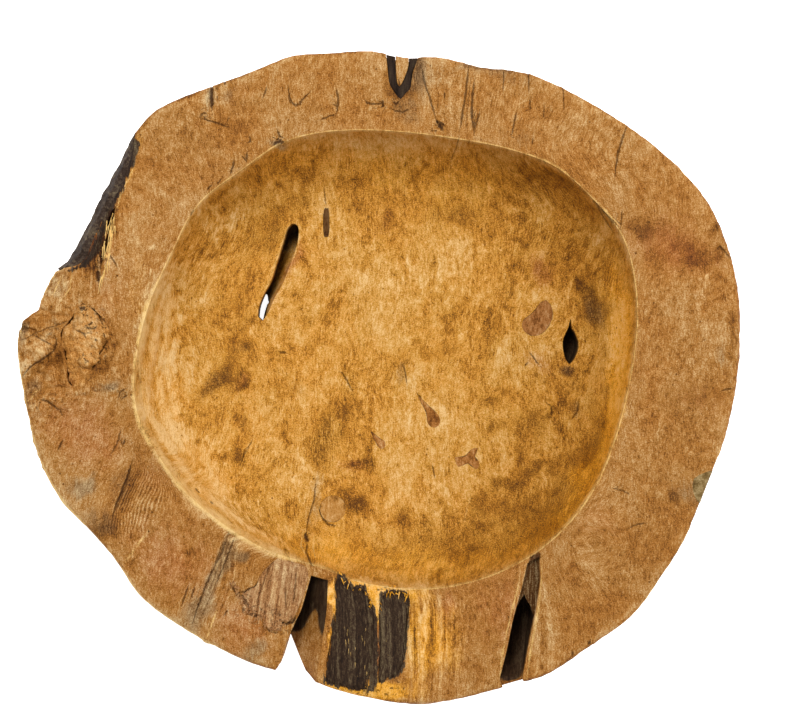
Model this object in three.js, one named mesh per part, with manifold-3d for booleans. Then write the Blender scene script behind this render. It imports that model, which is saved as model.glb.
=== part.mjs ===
// Live-edge bowl: a wide-rimmed dish carved from one slab of teak root, with bark, knots and fills set in it.
// Millimetres, +Z up. The origin is under the middle of the bowl, on the surface that it stands on.
import * as THREE from 'three';
import { mergeVertices } from 'three/addons/utils/BufferGeometryUtils.js';
import Module from 'manifold-3d';

// Driving dimensions of the root
const LENGTH = 600; // overall, along X
const WIDTH = 544; // overall, along Y
const FLOOR_THICKNESS = 37; // standing face to the lowest point of the dish
const DISH_DEPTH = 88; // lowest point of the dish to the flat of the rim
const FLOOR_SAG = 6; // how much of that depth is the gentle sag of the floor
const WALL_RUN = 58; // plan width of the dish's curved wall
const WALL_EASE = 34; // extra width of that wall at the left, where it runs out more gently
const FOOT_INSET = 96; // outline in to the edge of the standing face
const EDGE_ROUND = 4; // rounding of the rim's outer edge
const SHOULDER_SLOPE = 2; // fall of the bark shoulder for each millimetre that it stands out

// Natural openings in the root
const HOLLOW_DEPTH = 38; // depth of the hollow right of the notch
const CLEFT_DEPTH = 56; // greatest depth of the cleft at the front right, whose floor rises to the outline
const SLOT_DEPTH = 26; // lowest point of the dish to the deep side of the slot, apart from its open end
const HOLE_DEPTH = 27; // depth of the lens-shaped hole in the dish
const CREVICE_DEPTH = 34; // depth of the crevice behind the outer bark

// Pieces that are held in the root
const SEAT_GAP = 0.3; // clearance round each of them
const BARK_THICKNESS = 7;
const BARK_DROP = 2; // how far the bark lies below the rim
const OUTER_BARK_DEPTH = 62; // rim down to the lower end of the bark on the outside
const CLEFT_BARK_DROP = 6;
const POCKET_BARK_DEPTH = 16;
const BURL_SEAT = 18;
const BURL_RISE = 5; // height of the burl above the rim
const FLAKE_THICKNESS = 4;
const FLAKE_RISE = 1; // how far the flake has lifted
const KNOT_DEPTH = 14;
const FILL_DEPTH = 9;
const PATCH_DEPTH = 12;

// Fineness of the curved faces
const AROUND = 160; // sections round the root
const SIDE_STEPS = 5;
const EDGE_STEPS = 3;
const WALL_STEPS = 6;
const FLOOR_STEPS = 4;
const LOOP_STEPS = 4; // points on a smooth loop for each of its drawn points
const DOME_SIDES = 32;

// Plan of the slab as drawn from above: the live edge, and the two sides of the bark that is left on it
const BARE_EDGE = [
  [-204, 201], [-189, 220], [-168, 231], [-136, 243], [-100, 257], [-73, 268], [-40, 270], [-7, 272],
  [21, 266], [51, 267], [79, 259], [123, 253], [158, 238], [200, 214], [237, 186], [272, 148],
  [289, 110], [298, 78], [300, 43], [298, -2], [288, -49], [271, -93], [254, -136], [234, -167],
  [213, -196], [175, -224], [138, -248], [116, -254], [96, -260], [61, -269], [24, -272], [-16, -265],
  [-50, -255], [-62, -246], [-84, -244], [-97, -241], [-127, -228], [-165, -207], [-198, -183], [-217, -155],
  [-237, -131], [-262, -104], [-281, -71], [-290, -39], [-296, -9], [-300, 21], [-298, 39], [-293, 51],
  [-283, 56], [-278, 71], [-266, 92],
];
const BARK_FOOT = [[-255, 110], [-245, 127], [-235, 146], [-225, 171], [-213, 190]];
const BARK_HEAD = [
  [-250, 93], [-242, 100], [-239, 111], [-231, 128], [-220, 147], [-212, 163], [-205, 184],
];
const BARK_ENDS = [[-268, 90], [-202, 203]];

// Plan of the dish's edge
const DISH_EDGE = [
  [-203, -9], [-199, 27], [-189, 64], [-171, 104], [-150, 143], [-112, 173], [-79, 195], [-40, 204],
  [13, 204], [63, 198], [109, 189], [148, 174], [183, 142], [203, 115], [212, 81], [214, 43],
  [208, -2], [198, -43], [183, -83], [163, -114], [134, -142], [98, -162], [59, -173], [22, -175],
  [-16, -169], [-53, -155], [-90, -144], [-125, -124], [-158, -97], [-181, -67], [-197, -39],
];

// Openings and large set pieces, drawn on the same plan; a share is of the opening's own depth
const NOTCH_LEFT = [[-76, -217], [-79, -229], [-81, -237], [-86, -243], [-92, -248]];
const NOTCH_RIGHT = [[-61, -246], [-66, -237], [-71, -227]];
const HOLLOW = [
  { edge: [-56, -164], ridge: [-42, -168], share: 0.45 },
  { edge: [-64, -192], ridge: [-43, -192], share: 0.85 },
  { edge: [-74, -213], ridge: [-47, -222], share: 1 },
  { edge: [-88, -268], ridge: [-56, -278], share: 1 },
];
const CLEFT = [
  { left: [123, -154], right: [133, -149], share: 0.5 },
  { left: [119, -172], right: [134, -168], share: 0.8 },
  { left: [111, -201], right: [130, -194], share: 1 },
  { left: [106, -226], right: [124, -222], share: 0.7 },
  { left: [100, -250], right: [119, -250], share: 0.2 },
];
const CLEFT_BARK = [
  [100, -140], [150, -140], [150, -190], [131, -192], [129, -198], [126, -189], [123, -186],
  [121, -180], [118, -185], [115, -190], [100, -188],
];
const SLOT = [
  { left: [-77, 134, 0.6], right: [-74, 134, 0.6] },
  { left: [-81, 129, 1], right: [-71, 130, 1] },
  { left: [-84, 120, 1], right: [-72, 118, 0.8] },
  { left: [-90, 101, 1], right: [-78, 100, 0.1] },
  { left: [-96, 83, 1], right: [-85, 82, -0.1] },
  { left: [-102, 72, 1], right: [-93, 68, -0.1] },
  { left: [-106, 62, 1], right: [-98, 56, 0] },
  { left: [-107, 53, 0.8], right: [-103, 49, 0.4] },
];
const SLOT_END = [[-105, 77], [-110, 67], [-112, 54], [-106, 48], [-101, 55], [-100, 70]];
const LENS_HOLE = [
  [167, 51], [165, 43], [162, 37], [160, 30], [162, 17],
  [166, 11], [172, 19], [174, 28], [172, 36], [168, 43],
];
const CREVICE = [[-218, 142], [-224, 131], [-225, 119], [-228, 101], [-224, 106], [-221, 118], [-220, 131]];
const STRIP_LEFT = [
  [-35, -167], [-28, -168], [-21, -176], [-16, -174], [-9, -180], [-5, -192], [-4, -206],
  [-7, -238], [-10, -258], [-27, -257], [-43, -251], [-39, -215], [-35, -188],
];
const STRIP_RIGHT = [
  [3, -181], [12, -177], [25, -180], [23, -204], [20, -238], [12, -248], [0, -253], [2, -226], [1, -198],
];
const POCKET = [
  [7, 276], [8, 253], [9, 243], [13, 237], [18, 231], [22, 236], [26, 239], [27, 247], [28, 254], [31, 261],
  [33, 276], [26, 276], [25, 258], [23, 252], [21, 247], [19, 243], [17, 241], [15, 244], [14, 255], [12, 276],
];
const BURL = [
  [-246, 61], [-237, 57], [-229, 49], [-223, 41], [-223, 33], [-228, 24], [-234, 14], [-238, 3],
  [-245, -5], [-253, -8], [-258, -3], [-258, 12], [-262, 28], [-263, 38], [-255, 48],
];
const FLAKE = [
  [-83, -150], [-73, -153], [-62, -156], [-59, -163], [-65, -186], [-70, -197], [-75, -203],
  [-78, -201], [-83, -209], [-92, -207], [-96, -198], [-104, -198], [-110, -193], [-114, -182],
  [-107, -175], [-102, -173], [-97, -163], [-90, -155],
];
const PATCH = [[261, -84], [282, -78], [277, -108], [263, -101]];

// Small set pieces: the middle of each on the plan, and its own shape about that point
const OVAL_KNOT = {
  at: [139, 51],
  shape: [
    [7, 16], [12, 8], [12, 1], [9, -6], [4, -12], [-2, -15],
    [-8, -14], [-13, -10], [-14, -3], [-10, 1], [-3, 7], [1, 13],
  ],
};
const DISC_KNOT = { at: [-41, -115], radius: 11 };
const TEARDROP_FILL = {
  at: [46, -36],
  shape: [[-12, 18], [-5, 4], [-4, -5], [1, -9], [6, -6], [6, 1], [-2, 9]],
};
const TREFOIL_FILL = {
  at: [77, -72],
  shape: [[-11, 1], [-8, -7], [0, -4], [8, -9], [10, -3], [6, 2], [9, 9], [3, 8], [-2, 2]],
};
const SEED_FILL = {
  at: [0, -58],
  shape: [[-8, 10], [-4, 1], [0, -5], [4, -4], [4, 1], [-1, 4]],
};
const SLIT_FILL = {
  at: [-47, 135],
  shape: [[-2.5, 0], [-1.5, 12], [1.5, 12], [2.5, 0], [1.5, -12], [-1.5, -12]],
};

const wasm = await Module();
wasm.setup();

const floorHeight = FLOOR_THICKNESS;
const rimHeight = FLOOR_THICKNESS + DISH_DEPTH;
const beyond = DISH_DEPTH / 2; // how far a cutter runs past the face that it opens
const above = rimHeight + beyond;
const below = -beyond;

// Closed smooth loop through points in plan
function smoothLoop(points) {
  const knots = points.map(([x, y]) => new THREE.Vector3(x, y, 0));
  const curve = new THREE.CatmullRomCurve3(knots, true, 'centripetal');
  const loop = curve.getPoints(points.length * LOOP_STEPS).slice(0, -1);
  return loop.map((point) => new THREE.Vector2(point.x, point.y));
}

// The drawn plan is stretched to the overall length and width, with its middle on the origin
const drawn = new THREE.Box2().setFromPoints(smoothLoop([...BARE_EDGE, ...BARK_FOOT]));
const drawnMiddle = drawn.getCenter(new THREE.Vector2());
const drawnSize = drawn.getSize(new THREE.Vector2());

function place([x, y]) {
  return [(x - drawnMiddle.x) * LENGTH / drawnSize.x, (y - drawnMiddle.y) * WIDTH / drawnSize.y];
}

const plan = (points) => smoothLoop(points.map(place));
const corners = (points) => points.map((point) => new THREE.Vector2(...place(point)));
const outline = plan([...BARE_EDGE, ...BARK_FOOT]);
const rimEdge = plan([...BARE_EDGE, ...BARK_HEAD]);
const dishEdge = plan(DISH_EDGE);

// Shape of a small piece about its own middle, which moves with the plan
function shapeAt({ at, shape }) {
  const middle = new THREE.Vector2(...place(at));
  return smoothLoop(shape).map((point) => point.add(middle));
}

function discAt({ at, radius }) {
  const [x, y] = place(at);
  return new THREE.EllipseCurve(x, y, radius, radius).getPoints(DOME_SIDES).slice(0, -1);
}

// Even shares of a length, from the first step to the whole
const shares = (count) => Array.from({ length: count }, (unused, i) => (i + 1) / count);

// Distance from the origin to a loop in one direction
function reach(loop, angle) {
  const along = new THREE.Vector2(Math.cos(angle), Math.sin(angle));
  let farthest = 0;
  loop.forEach((start, i) => {
    const side = loop[(i + 1) % loop.length].clone().sub(start);
    const cross = along.cross(side);
    const share = start.cross(along) / cross;
    if (share >= 0 && share <= 1) {
      farthest = Math.max(farthest, start.cross(side) / cross);
    }
  });
  return farthest;
}

// Loop moved out by a clearance along its own normals
function outset(loop, gap) {
  const turn = THREE.ShapeUtils.isClockWise(loop) ? -1 : 1;
  return loop.map((point, i) => {
    const before = loop[(i + loop.length - 1) % loop.length];
    const after = loop[(i + 1) % loop.length];
    const side = after.clone().sub(before).normalize();
    return new THREE.Vector2(point.x + turn * gap * side.y, point.y - turn * gap * side.x);
  });
}

// Exact solid of a closed geometry
function solid(geometry) {
  const bare = geometry.clone();
  bare.deleteAttribute('normal');
  bare.deleteAttribute('uv');
  const merged = mergeVertices(bare, 1e-4);
  const mesh = new wasm.Mesh({
    numProp: 3,
    vertProperties: new Float32Array(merged.attributes.position.array),
    triVerts: new Uint32Array(merged.index.array),
  });
  return new wasm.Manifold(mesh);
}

// Upright solid of a plan loop between two heights
function prism(loop, low, high) {
  const shape = new THREE.Shape(loop);
  const geometry = new THREE.ExtrudeGeometry(shape, { depth: high - low, bevelEnabled: false });
  geometry.translate(0, 0, low);
  return solid(geometry);
}

// Closed skin over rings of equally many points, from the point at the start to the point at the end
function skin(start, rings, end) {
  const count = rings[0].length;
  const points = [start, ...rings.flat(), end];
  const last = points.length - 1;
  const faces = [];
  for (let i = 0; i < count; i += 1) {
    const next = (i + 1) % count;
    faces.push(0, 1 + next, 1 + i);
    for (let ring = 0; ring < rings.length - 1; ring += 1) {
      const low = 1 + ring * count;
      const high = low + count;
      faces.push(low + i, low + next, high + next, low + i, high + next, high + i);
    }
    faces.push(last - count + i, last - count + next, last);
  }
  const geometry = new THREE.BufferGeometry().setFromPoints(points);
  geometry.setIndex(faces);
  return solid(geometry);
}

// Sizes of the root in one direction from its middle
function sectorAt(angle) {
  const widest = reach(outline, angle);
  const rim = reach(rimEdge, angle);
  const dish = reach(dishEdge, angle);
  const leftness = (1 - Math.cos(angle)) / 2;
  return {
    angle,
    foot: widest - FOOT_INSET,
    widest,
    widestHeight: rimHeight - EDGE_ROUND - SHOULDER_SLOPE * Math.max(0, widest - rim),
    rim: rim - EDGE_ROUND,
    dish,
    floor: dish - WALL_RUN - WALL_EASE * leftness ** 2,
  };
}

// Section of the root in one direction, from the standing face over the rim and down to the dish's middle
function sectionOf({ foot, widest, widestHeight, rim, dish, floor }) {
  const wallDepth = DISH_DEPTH - FLOOR_SAG;
  const quarter = Math.PI / 2;
  const section = [[foot, 0]];
  for (const share of shares(SIDE_STEPS)) {
    const lean = share * quarter;
    section.push([foot + (widest - foot) * Math.sin(lean), widestHeight * (1 - Math.cos(lean))]);
  }
  for (const share of shares(EDGE_STEPS)) {
    const lean = share * quarter;
    const up = widestHeight + (rimHeight - widestHeight) * Math.sin(lean);
    section.push([rim + (widest - rim) * Math.cos(lean), up]);
  }
  section.push([(rim + dish) / 2, rimHeight], [dish, rimHeight]);
  for (const share of shares(WALL_STEPS)) {
    const lean = share * quarter;
    section.push([floor + (dish - floor) * Math.cos(lean), rimHeight - wallDepth * Math.sin(lean)]);
  }
  for (const share of shares(FLOOR_STEPS).slice(0, -1)) {
    section.push([floor * (1 - share), floorHeight + FLOOR_SAG * (1 - share) ** 2]);
  }
  return section;
}

// The root before its openings and seats are cut: a loft of one section all the way round
function rootBlank() {
  const sections = [];
  for (let i = 0; i < AROUND; i += 1) {
    const sector = sectorAt(i / AROUND * 2 * Math.PI);
    sections.push(sectionOf(sector).map(([out, up]) => (
      new THREE.Vector3(out * Math.cos(sector.angle), out * Math.sin(sector.angle), up))));
  }
  const rings = sections[0].map((unused, ring) => sections.map((section) => section[ring]));
  const start = new THREE.Vector3(0, 0, 0);
  const end = new THREE.Vector3(0, 0, floorHeight);
  return skin(start, rings, end);
}

const blank = rootBlank();

// Plan points pushed out past the outline, so that a cutter leaves no wall there
function pushedOut([x, y]) {
  const length = Math.hypot(x, y);
  return [x * (length + beyond) / length, y * (length + beyond) / length];
}

// Plan of an opening between two banks that runs out through the outline at the last point of the first bank
function openPlan(leftBank, rightBank) {
  const mouth = [leftBank[leftBank.length - 1], rightBank[0]].map(pushedOut);
  return corners([...leftBank, ...mouth, ...rightBank]);
}

// Closed skin over flat-ended rings
function loft(rings) {
  const middle = (ring) => new THREE.Box3().setFromPoints(ring).getCenter(new THREE.Vector3());
  return skin(middle(rings[0]), rings, middle(rings[rings.length - 1]));
}

// Hollow right of the notch: four-sided sections along the edge of the left lobe, deepest under that edge
function hollowCut() {
  const rings = HOLLOW.map(({ edge, ridge, share }) => {
    const [edgeX, edgeY] = place(edge);
    const [ridgeX, ridgeY] = place(ridge);
    return [
      new THREE.Vector3(ridgeX, ridgeY, rimHeight - BARK_DROP),
      new THREE.Vector3(ridgeX, ridgeY, above),
      new THREE.Vector3(edgeX, edgeY, above),
      new THREE.Vector3(edgeX, edgeY, rimHeight - HOLLOW_DEPTH * share),
    ];
  });
  return loft(rings);
}

// Slot in the dish's floor: deep along its left bank, with a right bank that slopes down to it
function slotCut() {
  const bank = (side) => {
    const knots = SLOT.map((section) => {
      const [x, y, share] = section[side];
      return new THREE.Vector3(...place([x, y]), floorHeight - SLOT_DEPTH * share);
    });
    const curve = new THREE.CatmullRomCurve3(knots, false, 'centripetal');
    return curve.getPoints(SLOT.length * LOOP_STEPS);
  };
  const rightBank = bank('right');
  const rings = bank('left').map((left, i) => {
    const right = rightBank[i];
    return [
      right,
      new THREE.Vector3(right.x, right.y, above),
      new THREE.Vector3(left.x, left.y, above),
      left,
    ];
  });
  return loft(rings);
}

// Piece let into the root and flush with it, or with a top of its own where one is given
function setIn(loop, bottom, top = above) {
  return {
    piece: prism(loop, bottom, top).intersect(blank),
    seat: prism(outset(loop, SEAT_GAP), bottom - SEAT_GAP, above),
  };
}

// Burl: a low dome, wider than the burl's own outline, which cuts its sides upright
function burl() {
  const loop = plan(BURL);
  const box = new THREE.Box2().setFromPoints(loop);
  const middle = box.getCenter(new THREE.Vector2());
  const size = box.getSize(new THREE.Vector2()).multiplyScalar(Math.SQRT1_2);
  const bed = rimHeight - BURL_SEAT;
  const dome = new THREE.SphereGeometry(1, DOME_SIDES, DOME_SIDES / 2);
  dome.rotateX(Math.PI / 2);
  dome.scale(size.x, size.y, BURL_SEAT + BURL_RISE);
  dome.translate(middle.x, middle.y, bed);
  return {
    piece: prism(loop, bed, above).intersect(solid(dome)),
    seat: prism(outset(loop, SEAT_GAP), bed - SEAT_GAP, above),
  };
}

// Flake: a thin plate that has lifted a little out of its bed
function flake() {
  const loop = plan(FLAKE);
  const bed = rimHeight + FLAKE_RISE - FLAKE_THICKNESS;
  return {
    piece: prism(loop, bed, rimHeight + FLAKE_RISE),
    seat: prism(outset(loop, SEAT_GAP), bed - SEAT_GAP, above),
  };
}

// Bark left on the outside: what the slab holds between the two drawn sides of the bark
function outerBark() {
  const inner = [BARK_ENDS[0], ...BARK_HEAD, BARK_ENDS[1]];
  const outer = [...BARK_FOOT].reverse().map(pushedOut);
  return setIn(corners([...inner, ...outer]), rimHeight - OUTER_BARK_DEPTH);
}

// Cleft: upright banks and a floor that rises from the middle to both ends
const lastCleft = CLEFT[CLEFT.length - 1];
const cleftMouth = {
  left: pushedOut(lastCleft.left),
  right: pushedOut(lastCleft.right),
  share: lastCleft.share,
};
const cleftRun = [...CLEFT, cleftMouth];

function cleftCut() {
  const rings = cleftRun.map(({ left, right, share }) => {
    const [leftX, leftY] = place(left);
    const [rightX, rightY] = place(right);
    const floor = rimHeight - CLEFT_DEPTH * share;
    return [
      new THREE.Vector3(rightX, rightY, floor),
      new THREE.Vector3(rightX, rightY, above),
      new THREE.Vector3(leftX, leftY, above),
      new THREE.Vector3(leftX, leftY, floor),
    ];
  });
  return loft(rings);
}

// Bark in the upper end of the cleft, clear of its banks and its floor, with a torn lower end
function cleftBark() {
  const leftBank = cleftRun.map(({ left }) => left);
  const rightBank = cleftRun.map(({ right }) => right).reverse();
  const banks = outset(corners([...leftBank, ...rightBank]), -SEAT_GAP);
  const seated = cleftCut().translate([0, 0, SEAT_GAP]);
  const filling = prism(banks, below, rimHeight - CLEFT_BARK_DROP).intersect(seated);
  return filling.intersect(prism(corners(CLEFT_BARK), below, above));
}

const barkBed = rimHeight - BARK_DROP - BARK_THICKNESS;
const barkTop = rimHeight - BARK_DROP;
const setPieces = {
  outer_bark: outerBark(),
  left_burl: burl(),
  weathered_flake: flake(),
  bark_strip_left: setIn(plan(STRIP_LEFT), barkBed, barkTop),
  bark_strip_right: setIn(plan(STRIP_RIGHT), barkBed, barkTop),
  top_bark_pocket: setIn(plan(POCKET), rimHeight - POCKET_BARK_DEPTH),
  oval_knot: setIn(shapeAt(OVAL_KNOT), floorHeight - KNOT_DEPTH),
  disc_knot: setIn(discAt(DISC_KNOT), floorHeight - KNOT_DEPTH),
  teardrop_fill: setIn(shapeAt(TEARDROP_FILL), floorHeight - FILL_DEPTH),
  trefoil_fill: setIn(shapeAt(TREFOIL_FILL), floorHeight - FILL_DEPTH),
  seed_fill: setIn(shapeAt(SEED_FILL), floorHeight - FILL_DEPTH),
  slit_fill: setIn(shapeAt(SLIT_FILL), floorHeight - FILL_DEPTH),
  edge_patch: setIn(plan(PATCH), rimHeight - PATCH_DEPTH),
};

// The root with its natural openings and the seats of the set pieces
function carvedRoot() {
  const cuts = [
    prism(openPlan(NOTCH_LEFT, NOTCH_RIGHT), below, above),
    hollowCut(),
    cleftCut(),
    slotCut(),
    prism(plan(SLOT_END), below, floorHeight - SLOT_DEPTH / 2),
    prism(plan(LENS_HOLE), floorHeight - HOLE_DEPTH, above),
    prism(plan(CREVICE), rimHeight - CREVICE_DEPTH, above),
    ...Object.values(setPieces).map(({ seat }) => seat),
  ];
  return cuts.reduce((root, cut) => root.subtract(cut), blank);
}

// Finishes
const finish = (color, roughness) => new THREE.MeshStandardMaterial({ color, roughness, metalness: 0 });
const TEAK = finish(0xb88048, 0.55);
const BARK = finish(0x2d2623, 0.9);
const FIBROUS_BARK = finish(0x5a4226, 0.9);
const BURL_WOOD = finish(0xb58a5c, 0.7);
const WEATHERED = finish(0x9c7d63, 0.8);
const DEAD_KNOT = finish(0x7d5530, 0.6);
const FILLER = finish(0x70492c, 0.6);
const EDGE_FILLER = finish(0x7a7350, 0.7);

// Named mesh of a finished solid
function part(name, body, material) {
  const { vertProperties, triVerts } = body.getMesh();
  const geometry = new THREE.BufferGeometry();
  geometry.setAttribute('position', new THREE.BufferAttribute(new Float32Array(vertProperties), 3));
  geometry.setIndex(new THREE.BufferAttribute(new Uint32Array(triVerts), 1));
  geometry.computeVertexNormals();
  const mesh = new THREE.Mesh(geometry, material);
  mesh.name = name;
  return mesh;
}

const materials = {
  outer_bark: BARK,
  left_burl: BURL_WOOD,
  weathered_flake: WEATHERED,
  bark_strip_left: BARK,
  bark_strip_right: BARK,
  top_bark_pocket: BARK,
  oval_knot: DEAD_KNOT,
  disc_knot: DEAD_KNOT,
  teardrop_fill: FILLER,
  trefoil_fill: FILLER,
  seed_fill: FILLER,
  slit_fill: FILLER,
  edge_patch: EDGE_FILLER,
};

const bowl = new THREE.Group();
bowl.add(part('carved_root', carvedRoot(), TEAK));
bowl.add(part('cleft_bark', cleftBark(), FIBROUS_BARK));
for (const [name, { piece }] of Object.entries(setPieces)) {
  bowl.add(part(name, piece, materials[name]));
}

export default bowl;
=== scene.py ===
"""Looks of a live-edge teak root bowl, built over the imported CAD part.

Lists of marks hold millimetres on the plan of the rim, X to the right and Y away from the notch.
"""
import functools
import itertools
import math

import bpy
import numpy as np
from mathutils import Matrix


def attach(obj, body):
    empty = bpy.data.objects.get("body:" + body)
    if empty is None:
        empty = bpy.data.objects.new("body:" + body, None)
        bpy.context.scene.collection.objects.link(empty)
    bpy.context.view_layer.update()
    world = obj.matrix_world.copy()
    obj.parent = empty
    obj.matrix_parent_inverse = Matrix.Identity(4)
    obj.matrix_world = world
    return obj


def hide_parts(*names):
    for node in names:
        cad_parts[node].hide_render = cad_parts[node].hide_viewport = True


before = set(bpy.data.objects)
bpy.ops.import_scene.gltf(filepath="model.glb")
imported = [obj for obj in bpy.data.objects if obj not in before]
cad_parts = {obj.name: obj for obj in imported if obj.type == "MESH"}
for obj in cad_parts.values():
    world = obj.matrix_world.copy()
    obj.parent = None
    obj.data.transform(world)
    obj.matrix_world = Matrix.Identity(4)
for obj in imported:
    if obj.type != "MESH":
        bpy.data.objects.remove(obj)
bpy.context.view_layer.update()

bl_info = {
    "name": "Teak root bowl",
    "version": (1, 0, 0),
    "blender": (4, 5, 0),
    "location": "3D View > Sidebar > Bowl",
    "description": "Builds the visible wood, bark, knots and fills of a carved root bowl",
    "category": "Object",
}

# Where the marks were read from: a point over the plan and a height over the rim, in millimetres
READ_OVER = np.array([17.6, 12.0])
READ_HEIGHT = 1400.0
RIM_HEIGHT = 125.0
# Width of the plan that the picture shows at the rim
FRAME_WIDTH = 662.5
SENSOR_WIDTH = 36

# A point in the dish that its lip and the outer edge run round, and how far the lip can lie from it
DISH_MIDDLE = np.array([5.0, 15.0])
DISH_REACH = 225

# Millimetres in a metre
MM = 1000

# Corners of a CAD node are joined within one of this many steps of a millimetre
WELD_STEPS = 200
# Edges that bend by more degrees than this stay hard when a mesh is smoothed, and when it is shaded
SHARP_ANGLE = 34.0
SHADING_ANGLE = 40
# Rounds in which long edges are halved, at most
MOST_SPLITS = 10

# How far stains stray from their ovals, in millimetres
STRAY = 8
# The height that the floors of pits in the dish lie under
PIT_FLOOR = 31
# The distance from the lip that faces underneath are given, so that they are painted as the rim is
UNDERNEATH_LIP = 30

# Floor half width and its gap under the bowl in metres, and its glow and that of the sky
FLOOR_REACH = 20
FLOOR_GAP = 0.0002
FLOOR_GLOW = 0.95
SKY_GLOW = 0.5
# Lights: name, place in metres, size in metres, power in watts
LIGHTS = (("key", (-0.4, 0.85, 2.0), 0.7, 30), ("fill", (1.6, 0.15, 1.5), 1.4, 22))

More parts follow.
